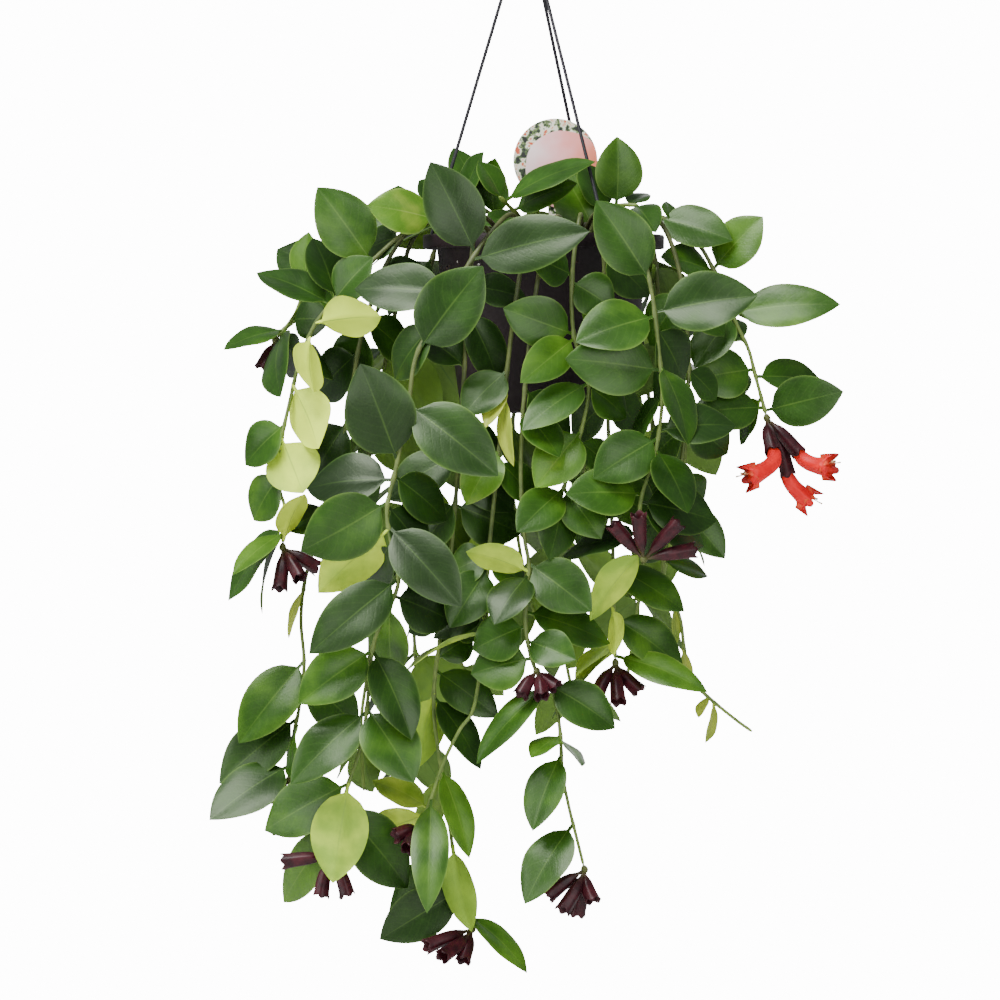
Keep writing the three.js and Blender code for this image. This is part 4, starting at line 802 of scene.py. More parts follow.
        [2, -16, -219], [2, -16, -198], [-4, -24, -188], [-11, -32, -181], [-17, -40, -175],
    ], "leaves": [
        [-6, -186, -36, -196, -14, 50, 28], [-9, -183, 31, -166, -14, 45, 26],
        [-15, -177, 42, -152, -8, 58, 28], [-16, -176, -30, -152, 4, 50, 24],
    ]},
    "shoot_top_right": {"tones": "54533", "route": [
        [40, -14, -219], [40, -14, -198], [46, -17, -186], [58, -22, -180], [70, -26, -180],
    ], "leaves": [
        [41, -194, 22, -158, 4, 22, 36], [47, -185, 36, -152, 16, 40, 28], [56, -181, 57, -137, -6, 20, 32],
        [64, -181, 76, -172, 16, 50, 16], [69, -180, 80, -196, -10, 40, 22],
    ]},
}
GROWN = {  # azimuth over the rim, radius of the foot, lowest point, greatest reach and seed
    "vine_side_right": [12, 34, -320, 118, 1],
    "vine_back_1": [43, 30, -410, 116, 2],
    "vine_back_2": [56, 30, -475, 124, 3],
    "vine_back_3": [78, 42, -500, 130, 4],
    "vine_back_4": [96, 32, -436, 124, 5],
    "vine_back_5": [120, 43, -486, 134, 6],
    "vine_back_6": [136, 31, -520, 126, 7],
    "vine_back_7": [153, 40, -545, 130, 8],
}
PAIR_SPACING = 53
LEAF_RATIO = 0.6
RIM_TOP = -198.0
RIM_REACH = 76.0
CLEAR_REACH = RIM_REACH + 22
DROP = 42  # between the points of a grown route
CROWN_Z = -203.0
ROOT_DEPTH = 16.0
SHORT_END = 60  # leaves nearer to the tip than this are smaller
LIGHTEST_TONE = 9


def draws(seed):
    """A function that draws evenly spread numbers from 0 to 1, the same in every run."""
    state = (seed * 2654435761 + 12345) & 0xFFFFFFFF

    def draw():
        nonlocal state
        state = (state * 1664525 + 1013904223) & 0xFFFFFFFF
        return state / 4294967296

    return draw


def unit(v):
    return v / np.linalg.norm(v)


def around_pot(azimuth, radius, z):
    """A point in mm at an azimuth and radius from the pot's middle."""
    turn = math.radians(azimuth)
    return np.array([POT_X / MM + radius * math.cos(turn), radius * math.sin(turn), z])


def point_along(route, distance):
    """The point of a route at a distance from its root, or its end."""
    for i in range(len(route) - 1):
        step = route[i + 1] - route[i]
        length = np.linalg.norm(step)
        if distance <= length or i + 2 == len(route):
            return route[i] + step * min(1, distance / length)
        distance -= length


def grown_vine(azimuth, foot_radius, lowest, reach, seed):
    """A stem of the sides or back: it rises over the rim, falls clear of the pot and sways."""
    draw = draws(seed)
    route = [
        around_pot(azimuth, foot_radius, CROWN_Z - ROOT_DEPTH),
        around_pot(azimuth, foot_radius, CROWN_Z + 4),
        around_pot(azimuth, RIM_REACH - 4, RIM_TOP + 12),
        around_pot(azimuth, RIM_REACH + 18, RIM_TOP - 4),
    ]
    steps = math.floor((RIM_TOP - lowest) / DROP + 0.5)
    for i in range(1, steps + 1):
        share = i / steps
        radius = CLEAR_REACH + (reach - CLEAR_REACH) * math.sin(share * 2.2) + 5 * (draw() - 0.5)
        sway = 7 * math.sin(share * 5 + seed) * share + 3 * (draw() - 0.5)
        route.append(around_pot(azimuth + sway, radius, RIM_TOP - 4 + (lowest - RIM_TOP) * share))
    leaves = []
    total = sum(np.linalg.norm(b - a) for a, b in zip(route, route[1:]))
    sideways = draw() < 0.5
    along = 44 + 12 * draw()
    while along < total - 2:
        base = point_along(route, along)
        stem = unit(point_along(route, along + 4) - point_along(route, along - 4))
        outward = unit(np.array([base[0] - POT_X / MM, base[1], 0]))
        tangent = np.array([-outward[1], outward[0], 0])
        length = (44 + 18 * draw()) * (0.8 if along > total - SHORT_END else 1)
        # A pair spreads to both sides, leans on along the stem and sags.
        for side in (-1, 1):
            spread = tangent if sideways else unit(outward + tangent * 0.35)
            away = unit(spread * side - stem * side * np.dot(spread, stem))
            sag = 0.35 + 0.5 * draw()
            aim = unit(away + stem * 0.45 + np.array([0, 0, -sag]))
            turn = 20 + 50 * draw()
            width = length * (LEAF_RATIO - 0.06 + 0.1 * draw())
            tip = base + aim * length
            leaves.append({"base": base, "tip": tip, "front": outward, "turn": turn, "width": width})
        sideways = not sideways
        along += PAIR_SPACING * (0.82 + 0.36 * draw())
    return {"route": route, "leaves": leaves}


def nearest_on(route, x, z):
    """The point of a route, above its root, that stands nearest to x and z as seen from the front."""
    best_gap, best = math.inf, route[0]
    for a, b in zip(route[1:], route[2:]):
        step = b - a
        share = ((x - a[0]) * step[0] + (z - a[2]) * step[2]) / (step[0] ** 2 + step[2] ** 2 + 1e-9)
        point = a + step * min(1, max(0, share))
        gap = math.hypot(point[0] - x, point[2] - z)
        if gap < best_gap:
            best_gap, best = gap, point
    return best


FRONT = np.array([0.0, -1.0, 0.0])
vines = {}
for name, vine in VINES.items():
    route = [np.array(point, float) for point in vine["route"]]
    leaves = []
    for row, tone in zip(vine["leaves"], vine["tones"]):
        base_x, base_z, tip_x, tip_z, lean, turn, width = row
        base = nearest_on(route, base_x, base_z)
        tip = np.array([tip_x, base[1] + lean, tip_z])
        leaf = {"base": base, "tip": tip, "front": FRONT, "turn": turn, "width": width}
        leaves.append(dict(leaf, tone=int(tone) / LIGHTEST_TONE))
    vines[name] = {"route": route, "leaves": leaves}
for name, row in GROWN.items():
    vines[name] = grown_vine(*row)
    # The grown leaves at the sides and back keep dark and middle tones: partly their own green and partly
    # painted shade for the back of the mass.
    shade = draws(row[-1] + 40)
    for leaf in vines[name]["leaves"]:
        leaf["tone"] = 0.2 + 0.45 * shade() ** 1.5

STEM_ROOT_RADIUS = 1.6
STEM_TIP_RADIUS = 1.05
NODE_SWELLING = 0.225
NODE_LENGTH = 2.6
THICKEST = 1.6  # nodes swell to no more than this many times the root's radius
STEM_STEP = 2.2
STEM_SIDES = 10


def mark(tree, name):
    """A number that a piece keeps on its vertices, for its material to read."""
    return new_node(tree, "ShaderNodeAttribute", attribute_name=name).outputs["Fac"]


stem_skin, tree, surface = shader("stem_skin", {"Roughness": 0.5})
where = own_place(tree)
streak = clouds(tree, where, 120.0, 5.0)
green = ramp(tree, streak, [(0.3, (0.10, 0.17, 0.024)), (0.7, (0.21, 0.31, 0.055))])
woody = ramp(tree, streak, [(0.3, (0.030, 0.036, 0.012)), (0.7, (0.08, 0.08, 0.028))])
tree.links.new(mixed_colour(tree, mark(tree, "age"), green, woody), surface.inputs["Base Color"])
dented(tree, surface, clouds(tree, where, 1400.0), 0.35, 3e-4)


def finder_of(points):
    """Finds which of many points is nearest to a place."""
    finder = kdtree.KDTree(len(points))
    for i, point in enumerate(points):
        finder.insert(point, i)
    finder.balance()
    return finder


for name, vine in vines.items():
    line = smooth_line(vine["route"], STEM_STEP)
    finder = finder_of(line)
    share = np.linspace(0, 1, len(line))
    radii = STEM_ROOT_RADIUS + (STEM_TIP_RADIUS - STEM_ROOT_RADIUS) * share
    for leaf in vine["leaves"]:
        place, index, _ = finder.find(leaf["base"])
        leaf["joint"] = np.array(place)
        off_node = (np.arange(len(line)) - index) * STEM_STEP / NODE_LENGTH
        radii *= 1 + NODE_SWELLING * np.exp(-(off_node**2))
    radii = np.minimum(radii, STEM_ROOT_RADIUS * THICKEST)
    radii[-1] *= 0.5  # a blunt tip
    mesh = rod_mesh(lowered(line), radii * MM, STEM_SIDES, stem_skin)
    keep_mark(mesh, "age", np.repeat(1 - share, STEM_SIDES))
    finish_piece(f"stem_{name}", mesh, stem_skin, [name])


# ---- Leaves
# Thick waxy blades, egg-shaped with a short point, in opposite pairs on short stalks. The upper face is
# dark and glossy with a pale midrib, the underside pale and matt. Old leaves are darkest, the newest yellow,
# and a leaf's tone also holds painted light and shade, lighter or darker as light falls on it.
LEAF_BOW = 0.05
LEAF_THICKNESS = 0.55
KEEL, KEEL_WIDTH = 0.85, 1.2  # the midrib under the leaf
GROOVE, GROOVE_WIDTH = 0.32, 0.9  # the midrib's groove in the upper face
WAVED_WIDTH = 36  # the width of a leaf whose waves have their full height
STALK_SHARE = 0.09
STALK_HALF_WIDTH = 0.95
ROWS, COLUMNS = 17, 5
NEAR = 0.05 * MM  # a leaf's tip and edge stand this near to corners of its solid
EDGE_SHARE = 0.4  # where along the leaf that edge is
WAYS = [(growth, lean, roll) for growth in (1, 0.84, 0.68) for lean in (0, 9, -9, 18, -18, 28, -28, 40)
        for roll in (0, 22, -22, 44)]


def leaf_frame(leaf):
    """The leaf's own directions: along the midrib, out of its upper face, and to its right."""
    along = unit(leaf["tip"] - leaf["base"])
    facing = unit(leaf["front"] - along * np.dot(leaf["front"], along))
    side = np.cross(along, facing)
    sky = np.array([-0.3 if leaf["base"][0] < POT_X / MM else 0.3, 0, 1])
    upward = -side if np.dot(side, sky) < 0 else side
    turn = math.radians(leaf["turn"])
    up = facing * math.cos(turn) + upward * math.sin(turn)
    return along, up, np.cross(along, up)


def fitted(leaf, corners):
    """The leaf as its solid has it: leaned, rolled or smaller where a neighbour is in its way, or None where
    the solid had no room for it."""
    for growth, lean, roll in WAYS:
        reach = (leaf["tip"] - leaf["base"] + leaf["front"] * lean) * growth
        way = dict(leaf, tip=leaf["base"] + reach, turn=leaf["turn"] + roll, width=leaf["width"] * growth)
        _, up, right = leaf_frame(way)
        edge = way["base"] + reach * EDGE_SHARE + right * way["width"] / 2
        edge = edge + up * LEAF_BOW * np.linalg.norm(reach) * math.sin(math.pi * EDGE_SHARE)
        if corners.find(lowered(way["tip"]))[2] < NEAR and corners.find(lowered(edge))[2] < NEAR:
            return way
    return None


def leaf_shape(leaf, draw):
    """Points, faces, uv and rim of one blade with its stalk: an upper and a lower skin and a thin edge."""
    _, up, _ = leaf_frame(leaf)
    root = leaf["joint"]
    span = leaf["tip"] - root
    length = np.linalg.norm(span)
    along = span / length
    up = unit(up - along * np.dot(up, along))
    right = np.cross(along, up)
    fold = 0.10 + 0.14 * draw()
    droop = 0.05 * draw()
    wave = 0.5 + 0.9 * draw()
    phase = FULL_TURN * draw()
    skew = draw() - 0.5
    # Rows stand along the stalk and the blade, and q runs along the blade alone.
    stalk = np.array([0, 0.5, 1]) * STALK_SHARE
    blade = STALK_SHARE + (1 - STALK_SHARE) * np.linspace(0, 1, ROWS - 1)[1:] ** 0.92
    share = np.concatenate([stalk, blade])[:, None]
    across = np.linspace(-1, 1, 2 * COLUMNS + 1)[None, :]
    q = np.clip((share - STALK_SHARE) / (1 - STALK_SHARE), 0, 1)
    # The outline: widest a little below the middle, with a short point.
    form = q**0.6 * (1 - q) ** 0.8 / (0.43**0.6 * 0.57**0.8) * (1 - 0.3 * q**10)
    narrow = STALK_HALF_WIDTH * (1 - q) ** 0.5
    half_width = np.maximum(leaf["width"] / 2 * form, np.maximum(narrow, 0.05))
    sideways = across * half_width * (1 + 0.04 * skew * np.sign(across))
    # The height over the chord: bow and droop, the fold and its turned-down edges, waves, a midrib's groove.
    bulge = np.sqrt(across**2 + 0.015) - 0.12
    lift = LEAF_BOW * length * np.sin(math.pi * share) - droop * length * q**3
    lift = lift + fold * bulge * half_width - 0.09 * across**4 * half_width
    ripple = np.sin(8.5 * q + phase * np.sign(across)) * np.sin(math.pi * q)
    lift = lift + wave * ripple * across**2 * leaf["width"] / WAVED_WIDTH
    lift = lift - GROOVE * np.exp(-((sideways / GROOVE_WIDTH) ** 2)) * np.clip(q * 8, 0, 1) * (1 - q)
    # Thickest at the midrib's keel and in the stalk, thin at the edges and the tip.
    keel = KEEL * np.exp(-((sideways / KEEL_WIDTH) ** 2)) * (1 - q)
    thick = LEAF_THICKNESS - 0.3 * across**2 + keel + 0.5 * (q <= 0)
    thick = thick * np.clip((1 - q) * 12, 0.3, 1)
    upper = root + along * (share[..., None] * length) + right * sideways[..., None] + up * lift[..., None]
    lower = upper - up * thick[..., None]
    rows, wide = upper.shape[:2]
    points = np.concatenate([upper.reshape(-1, 3), lower.reshape(-1, 3)])
    under = rows * wide
    faces = []
    for i in range(rows - 1):
        for j in range(wide - 1):
            a = i * wide + j
            faces.append((a, a + 1, a + wide + 1, a + wide))
            faces.append((under + a, under + a + wide, under + a + wide + 1, under + a + 1))
        a, b = i * wide, i * wide + wide - 1
        faces.append((b, under + b, under + b + wide, b + wide))
        faces.append((a, a + wide, under + a + wide, under + a))
    first, last = list(range(wide)), list(range((rows - 1) * wide, rows * wide))
    faces.append(tuple(first[::-1]) + tuple(under + i for i in first))
    faces.append(tuple(last) + tuple(under + i for i in last[::-1]))
    u, v = np.broadcast_to(across / 2 + 0.5, (rows, wide)), np.broadcast_to(share, (rows, wide))
    flat = np.stack([u, v], -1).reshape(-1, 2)
    rim = np.zeros((rows, wide), bool)
    rim[:, (0, -1)] = True
    rim[(0, -1), :] = True
    return points, faces, np.concatenate([flat, flat]), np.tile(rim.ravel(), 2)


# Veins, from the leaf's own map: a midrib that fades to the tip, faint side veins that curve forward and a
# thin pale edge.
veins, given, put = group_tree(
    "ShaderNodeTree", "leaf_veins",
    [("Side Veins", FLOAT, 9.0), ("Midrib Width", FLOAT, 0.022)],
    [("Midrib", FLOAT), ("Veins", FLOAT), ("Edge", FLOAT)],
)
leaf_map = new_node(veins, "ShaderNodeTexCoord").outputs["UV"]
spot = new_node(veins, "ShaderNodeSeparateXYZ", {0: leaf_map})
along_leaf = spot.outputs["Y"]
off_middle = maths(veins, "ABSOLUTE", maths(veins, "SUBTRACT", spot.outputs["X"], 0.5))
near = maths(veins, "DIVIDE", off_middle, given.outputs["Midrib Width"])
midrib = maths(veins, "MAXIMUM", maths(veins, "SUBTRACT", 1.0, near), 0.0)
fading = maths(veins, "SUBTRACT", 1.25, along_leaf)
veins.links.new(maths(veins, "MULTIPLY", midrib, fading), put.inputs["Midrib"])
forward = maths(veins, "MULTIPLY", maths(veins, "POWER", off_middle, 1.3), 0.75)
beat = maths(veins, "MULTIPLY", maths(veins, "SUBTRACT", along_leaf, forward), given.outputs["Side Veins"])
wave = maths(veins, "SINE", maths(veins, "MULTIPLY", beat, math.tau))
ridge = maths(veins, "POWER", maths(veins, "MAXIMUM", wave, 0.0), 10.0)
veins.links.new(ridge, put.inputs["Veins"])
outermost = maths(veins, "POWER", maths(veins, "MULTIPLY", off_middle, 2.0), 26.0)
veins.links.new(outermost, put.inputs["Edge"])

waxy, tree, surface = shader("waxy_leaf", {"Specular IOR Level": 0.4, "Specular Tint": (0.86, 1, 0.74, 1)})
where = own_place(tree)
lines = new_node(tree, "ShaderNodeGroup", node_tree=veins)
under = mark(tree, "under")
mottle = clouds(tree, where, 42.0, 4.0)
# A leaf's tone is partly its age and partly painted light and shade; mottle and chance vary it at random.
mixed = maths(tree, "MULTIPLY_ADD", maths(tree, "SUBTRACT", mottle, 0.5), 0.55, mark(tree, "tone"))
mixed = maths(tree, "MULTIPLY_ADD", maths(tree, "SUBTRACT", mark(tree, "chance"), 0.5), 0.10, mixed)
top = ramp(tree, mixed, [
    (0.05, (0.006, 0.019, 0.003)),
    (0.3, (0.010, 0.036, 0.003)),
    (0.5, (0.024, 0.078, 0.005)),
    (0.72, (0.085, 0.200, 0.012)),
    (1.0, (0.45, 0.55, 0.06)),
])
pale = ramp(tree, mixed, [
    (0.1, (0.050, 0.105, 0.014)),
    (0.5, (0.13, 0.25, 0.026)),
    (0.72, (0.25, 0.42, 0.030)),
    (0.98, (0.76, 0.97, 0.07)),
])
line_colour = ramp(tree, mixed, [
    (0.1, (0.07, 0.15, 0.025)),
    (0.6, (0.20, 0.34, 0.06)),
    (1.0, (0.65, 0.72, 0.20)),
])
faint = maths(tree, "MULTIPLY", lines.outputs["Veins"], 0.045)
rib = maths(tree, "MULTIPLY", lines.outputs["Midrib"], 0.4)
veined = mixed_colour(tree, maths(tree, "MAXIMUM", faint, rib), top, line_colour)
rimmed = mixed_colour(tree, maths(tree, "MULTIPLY", lines.outputs["Edge"], 0.7), veined, line_colour)
keel_colour = ramp(tree, mixed, [(0.3, (0.05, 0.12, 0.015)), (0.9, (0.30, 0.48, 0.05))])
keeled = mixed_colour(tree, lines.outputs["Midrib"], pale, keel_colour)
tree.links.new(mixed_colour(tree, under, rimmed, keeled), surface.inputs["Base Color"])
haze = maths(tree, "MULTIPLY_ADD", mottle, 0.22, 0.24)
tree.links.new(maths(tree, "MULTIPLY_ADD", under, 0.22, haze), surface.inputs["Roughness"])
pits = clouds(tree, where, 650.0, 3.0)
dented(tree, surface, maths(tree, "MULTIPLY_ADD", lines.outputs["Veins"], -0.2, pits), 0.2, 4e-4)

for number, (name, vine) in enumerate(vines.items()):
    corners = finder_of([vertex.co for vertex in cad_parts[name].data.vertices])
    draw = draws(number + 100)
    points, faces, uv, rim, marks = [], [], [], [], {"tone": [], "chance": [], "under": []}
    for leaf in vine["leaves"]:
        way = fitted(leaf, corners)
        luck = draw()
        if way is None:
            continue
        more, more_faces, more_uv, more_rim = leaf_shape(way, draw)
        add_mesh(points, faces, more, more_faces)
        uv += list(more_uv)
        rim += list(more_rim)
        marks["tone"] += [leaf["tone"]] * len(more)
        marks["chance"] += [luck] * len(more)
        marks["under"] += list(np.repeat([0.0, 1.0], len(more) // 2))
    points = lowered(points)
    new_piece(f"leaves_{name}", points, faces, waxy, "foliage", [name], uv=uv, marks=marks, sharp=rim)


# ---- Blooms
# At the stem tips stand clusters of calyces, dark maroon downy tubes with five teeth, on short stalks. From
# an open one comes a scarlet two-lipped corolla with its stamens and style. "ends" are the mouths in mm.
BLOOMS = {
    "blooms_right_far": {
        "on": "vine_right_far", "ends": [[154, -38, -335], [171, -26, -336], [164, -14, -349]],
        "open": {
            "corolla_left": [0, [134, -56, -352]],
            "corolla_upper": [1, [194, -40, -344]],
            "corolla_lower": [2, [182, -8, -368]],
        },
    },
    "blooms_right_front": {
        "on": "vine_right_front",
        "ends": [[53, -120, -380], [69, -127, -374], [94, -119, -379], [104, -108, -396]],
    },
    "blooms_left_front": {
        "on": "vine_left_front", "ends": [[-155, -42, -421], [-131, -34, -408], [-142, -46, -414]],
    },
    "blooms_left_back": {"on": "vine_left_back", "ends": [[-167, 13, -282], [-162, 24, -279]]},
    "blooms_left_low": {
        "on": "vine_left_low", "ends": [[-161, -24, -553], [-156, -14, -575], [-146, -26, -560]],
    },
    "blooms_front_long": {
        "on": "vine_front_long", "ends": [[-152, -98, -590], [-128, -98, -611], [-112, -102, -611]],
    },
    "blooms_front_centre": {
        "on": "vine_front_centre",
        "ends": [[13, -106, -611], [22, -114, -620], [31, -98, -623], [41, -112, -614]],
    },
    "blooms_centre_mid": {
        "on": "vine_front_centre",
        "beside": [6, -471],
        "ends": [[-4, -122, -486], [9, -125, -487], [18, -120, -481]],
    },
    "blooms_front_low_left": {
        "on": "vine_front_low_left", "ends": [[-63, -92, -643], [-53, -98, -649], [-40, -90, -652]],
    },
    "blooms_centre_low": {
        "on": "vine_centre_low", "ends": [[43, -80, -488], [57, -88, -491], [70, -78, -484]],
    },
    "blooms_front_low_inner": {"on": "vine_front_low_inner", "ends": [[-82, -102, -574], [-74, -108, -582]]},
}
KNOB_RADIUS = 2.6
KNOB_SHAPE = [(-2.9, 0.9), (-2.2, 1.6), (-1, 2.2), (0.4, 2.3), (1.6, 1.7), (2.3, 0.5)]  # along, radius
KNOB_SIDES = 16
SEAT_GAP = 0.3
BESIDE = 4.25  # from a stem's middle to the knob of a cluster that grows at its side
CALYX_ROWS = [  # share of the length and radius, up the outside and back down the inside
    (0.0, 0.9), (0.1, 1.0), (0.18, 1.3), (0.26, 2.3), (0.34, 3.2), (0.45, 3.9), (0.6, 4.3), (0.75, 4.5),
    (0.88, 4.7), (0.96, 5.0), (1.0, 5.2), (0.995, 4.85), (0.93, 4.4), (0.8, 4.0), (0.66, 2.6), (0.62, 0.4),
]
CALYX_SIDES = 30
RIBBED_ROWS = range(4, 10)
TEETH = {8: 0.3, 9: 0.8, 10: 1.3, 11: 1.3, 12: 0.6}  # rows that the five teeth pull up, and how much
TOOTH = 1.7
RIB = 0.05
CALYX_SWAY = 3
MOUTH_ROW = 10
INSIDE = 1.2  # the share mark of all that lies inside the mouth


def across_to(direction, hint):
    """Two directions across a line, the first one on the hint's side."""
    first = unit(np.asarray(hint, float) - direction * np.dot(hint, direction))
    return first, np.cross(direction, first)


def tube_faces(rows, sides):
    """The faces between neighbouring rings of points, and a cap at either end."""
    faces = []
    for a in range(0, (rows - 1) * sides, sides):
        for k in range(sides):
            far = (k + 1) % sides
            faces.append((a + k, a + far, a + sides + far, a + sides + k))
    last = (rows - 1) * sides
    return [*faces, tuple(reversed(range(sides))), tuple(range(last, last + sides))]


def swept(line, radii, sides, hint, lobes=None):
    """Rings round a line; lobes(row, turn) gives how far a ring's point is moved along and outwards."""
    points = []
    for i, centre in enumerate(line):
        direction = unit(line[min(i + 1, len(line) - 1)] - line[max(i - 1, 0)])
        first, second = across_to(direction, hint)
        for k in range(sides):
            turn = math.tau * k / sides
            push, spread = lobes(i, turn) if lobes else (0, 0)
            out = first * math.cos(turn) + second * math.sin(turn)
            points.append(centre + out * (radii[i] + spread) + direction * push)
    return points, tube_faces(len(line), sides)


def calyx_shape(at, end, draw):
    """Points, faces and share marks of one calyx from its cluster's knob to its mouth."""
    along = unit(end - at)
    length = np.linalg.norm(end - at)
    first, second = across_to(along, (0.2, 0.3, 1))
    sway = first * (draw() - 0.5) * CALYX_SWAY + second * (draw() - 0.5) * CALYX_SWAY
    start = draw() * math.tau
    points, shares = [], []
    for i, (share, radius) in enumerate(CALYX_ROWS):
        centre = at + along * length * share + sway * math.sin(math.pi * share)
        for k in range(CALYX_SIDES):
            turn = math.tau * k / CALYX_SIDES
            tooth = abs(math.cos(2.5 * (turn + start))) ** 1.5
            reach = TOOTH * (tooth - 0.5) * TEETH.get(i, 0)
            rib = 1 + RIB * math.cos(5 * (turn + start)) * (i in RIBBED_ROWS)
            out = (first * math.cos(turn) + second * math.sin(turn)) * radius * rib
            points.append(centre + out + along * reach)
            shares.append(share if i <= MOUTH_ROW else INSIDE)
    return points, tube_faces(len(CALYX_ROWS), CALYX_SIDES), shares


downy, given, put = group_tree(
    "ShaderNodeTree", "petal_down",
    [("Colour", COLOUR, (0.05, 0.01, 0.02, 1)), ("Light Colour", COLOUR, (0.1, 0.03, 0.05, 1)),
     ("Scale", FLOAT, 500.0)],
    [("Color", COLOUR), ("Height", FLOAT)],
)
where = own_place(downy)
fade = ramp(downy, clouds(downy, where, 140.0), [(0.35, (0, 0, 0)), (0.7, (1, 1, 1))])
body = mixed_colour(downy, fade, given.outputs["Colour"], given.outputs["Light Colour"])
downy.links.new(body, put.inputs["Color"])
downy.links.new(clouds(downy, where, given.outputs["Scale"], 4.0), put.inputs["Height"])


def petal(name, colour, light, roughness, sheen, stops):
    """A downy finish whose colour also changes along the flower by its `share` mark."""
    velvet = {"Sheen Weight": sheen, "Sheen Roughness": 0.4, "Specular IOR Level": 0.3}
    material, tree, surface = shader(name, {"Roughness": roughness, **velvet})
    colours = {"Colour": (*colour, 1), "Light Colour": (*light, 1)}
    down = new_node(tree, "ShaderNodeGroup", colours, node_tree=downy)
    share = mark(tree, "share")
    cover = ramp(tree, share, [(position, (amount,) * 3) for position, amount, _ in stops])
    tint = ramp(tree, share, [(position, tinted) for position, _, tinted in stops])
    tree.links.new(mixed_colour(tree, cover, down.outputs["Color"], tint), surface.inputs["Base Color"])
    dented(tree, surface, down.outputs["Height"], 0.4, 3e-4)
    return material


calyx_skin = petal("calyx_maroon", (0.022, 0.0022, 0.0050), (0.070, 0.008, 0.014), 0.4, 0.03, [
    (0.0, 0.9, (0.10, 0.12, 0.03)),
    (0.24, 0.5, (0.06, 0.03, 0.02)),
    (0.4, 0.0, (0.03, 0.01, 0.01)),
])
corolla_skin = petal("corolla_scarlet", (0.80, 0.004, 0.007), (0.96, 0.020, 0.018), 0.45, 0.04, [
    (0.0, 0.6, (0.75, 0.16, 0.05)),
    (0.3, 0.0, (0.6, 0.01, 0.01)),
    (0.8, 0.0, (0.6, 0.01, 0.01)),
    (1.0, 0.45, (0.78, 0.15, 0.04)),
])

MOUTH_DEPTH = 9.0
LIP = 5.5  # how far the lobes reach past the end of the tube
SIDE_LOBE = 1.95  # from the upper lobe round to one at the side, in radians
COROLLA_RADII = [1.0, 2.6, 3.9, 4.4, 4.7, 4.8, 4.9, 5.0, 5.1, 5.2, 5.3, 5.4]
COROLLA_SIDES = 60
THROAT = [  # how far back from the mouth, radius and share of the lobes
    (0.4, 4.9, 1.0), (3.0, 4.6, 0.56), (7.0, 4.2, 0.15), (11.0, 2.2, 0),
]


def bump(turn, place, width):
    """From 0 to 1, a rounded rise about one place of a ring."""
    return math.exp(-(abs(math.remainder(turn - place, math.tau) / width) ** 3))


def corolla_shape(at, mouth, end):
    """Points, faces and share marks of a corolla, with the middle of its mouth and the way that it faces."""
    along = unit(mouth - at)
    start = mouth - along * MOUTH_DEPTH * 0.66
    middle = mouth + along * np.linalg.norm(end - mouth) * 0.4
    line = [start, start + (mouth - start) * 0.5]
    count = len(COROLLA_RADII) - 2
    for i in range(count):
        t = i / (count - 1)
        line.append(mouth * (1 - t) ** 2 + middle * 2 * t * (1 - t) + end * t * t)
    outer = len(line)
    tip = unit(line[-1] - line[-2])
    line[2:] = [point - tip * LIP * (i / count) for i, point in enumerate(line[2:], 1)]
    line += [line[-1] - tip * back for back, _, _ in THROAT]
    radii = COROLLA_RADII + [radius for _, radius, _ in THROAT]
    shares = {outer - 4: 0.08, outer - 3: 0.28, outer - 2: 0.62, outer - 1: 1.0}
    shares.update({outer + i: share for i, (_, _, share) in enumerate(THROAT)})

    def lobes(i, turn):
        amount = shares.get(i, 0)
        upper = bump(turn, 0, 0.78)
        low = bump(turn, math.pi, 0.52)
        sides = bump(turn, SIDE_LOBE, 0.46) + bump(turn, -SIDE_LOBE, 0.46)
        notch = 2.0 * bump(turn, 0, 0.12)
        push = 8.2 * upper - notch + 6.8 * low + 4.4 * sides - 2.2
        spread = 3.0 * upper + 4.0 * low + 2.4 * sides
        return push * amount, spread * amount**1.4 + 0.15 * math.sin(5 * turn)

    points, faces = swept(line, radii, COROLLA_SIDES, (0, 0, 1), lobes)
    shares_along = [0.8 * i / (outer - 1) if i < outer else 1.0 for i in range(len(line))]
    return points, faces, np.repeat(shares_along, COROLLA_SIDES), line[outer - 1], tip


THREADS = [  # drift to a side, rise, reach past the mouth and radius of the head: a style and two stamens
    (0.0, 2.6, 8.5, 0.6), (1.3, 3.2, 4.0, 0.9), (-1.3, 3.4, 3.2, 0.9),
]
THREAD_RADII = (0.4, 0.36, 0.33, 0.3)
THREAD_SIDES = 8


def thread_shape(route, head):
    line = smooth_line(route, 1.0)
    radii = [*THREAD_RADII, head]
    spread = np.interp(np.linspace(0, 1, len(line)), np.linspace(0, 1, len(radii)), radii)
    return swept(line, spread, THREAD_SIDES, (0.3, 0.2, 1))


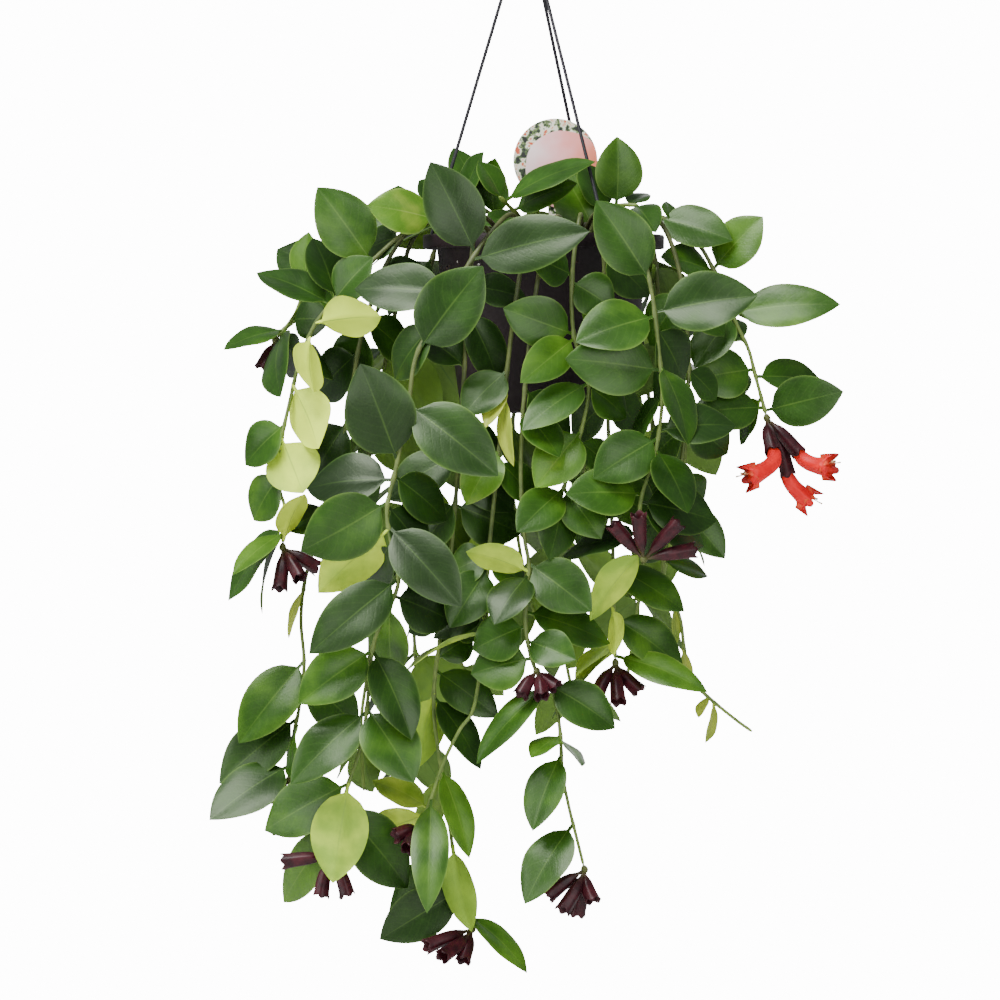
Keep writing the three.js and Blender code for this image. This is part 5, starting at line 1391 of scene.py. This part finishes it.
style_skin = petal("style_and_anthers", (0.50, 0.12, 0.06), (0.62, 0.34, 0.16), 0.5, 0.1,
                   [(0.0, 0.0, (0.5, 0.1, 0.05)), (1.0, 0.6, (0.70, 0.62, 0.34))])

for number, (name, bloom) in enumerate(BLOOMS.items()):
    route = vines[bloom["on"]]["route"]
    if "beside" in bloom:
        knob = FRONT
        at = nearest_on(route, *bloom["beside"]) + knob * BESIDE
    else:
        knob = unit(route[-1] - route[-2])
        at = route[-1] + knob * (KNOB_RADIUS + SEAT_GAP)
    draw = draws(number + 300)
    points, faces, shares = [], [], []
    for end in bloom["ends"]:
        more, more_faces, more_shares = calyx_shape(at, np.array(end, float), draw)
        add_mesh(points, faces, more, more_faces)
        shares += more_shares
    bead = [at + knob * along for along, _ in KNOB_SHAPE]
    more, more_faces = swept(bead, [radius for _, radius in KNOB_SHAPE], KNOB_SIDES, (0.1, 0.2, 1))
    add_mesh(points, faces, more, more_faces)
    shares += [0.0] * len(more)
    marks = {"share": shares}
    new_piece(f"calyces_{name}", lowered(points), faces, calyx_skin, "calyx", [name], marks=marks)
    for node, (which, end) in bloom.get("open", {}).items():
        mouth, end = np.array(bloom["ends"][which], float), np.array(end, float)
        points, faces, shares, lip, tip = corolla_shape(at, mouth, end)
        marks = {"share": shares}
        new_piece(f"petals_{node}", lowered(points), faces, corolla_skin, "corolla", [node], marks=marks)
        side, over = across_to(tip, (0, 0, 1))
        points, faces, shares = [], [], []
        for drift, rise, reach, head in THREADS:
            thread = [lip - tip * MOUTH_DEPTH + over * drift, lip + over * drift + side * rise * 0.6,
                      lip + tip * reach + over * drift * 1.4 + side * rise]
            more, more_faces = thread_shape(thread, head)
            add_mesh(points, faces, more, more_faces)
            steps = len(more) // THREAD_SIDES
            shares += list(np.repeat(np.linspace(0, 1, steps), THREAD_SIDES) ** 6)
        marks = {"share": shares}
        new_piece(f"stamens_{node}", lowered(points), faces, style_skin, "corolla", marks=marks)


# ---- Sizes
# The box of all that is shown, the floor left out.
low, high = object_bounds()
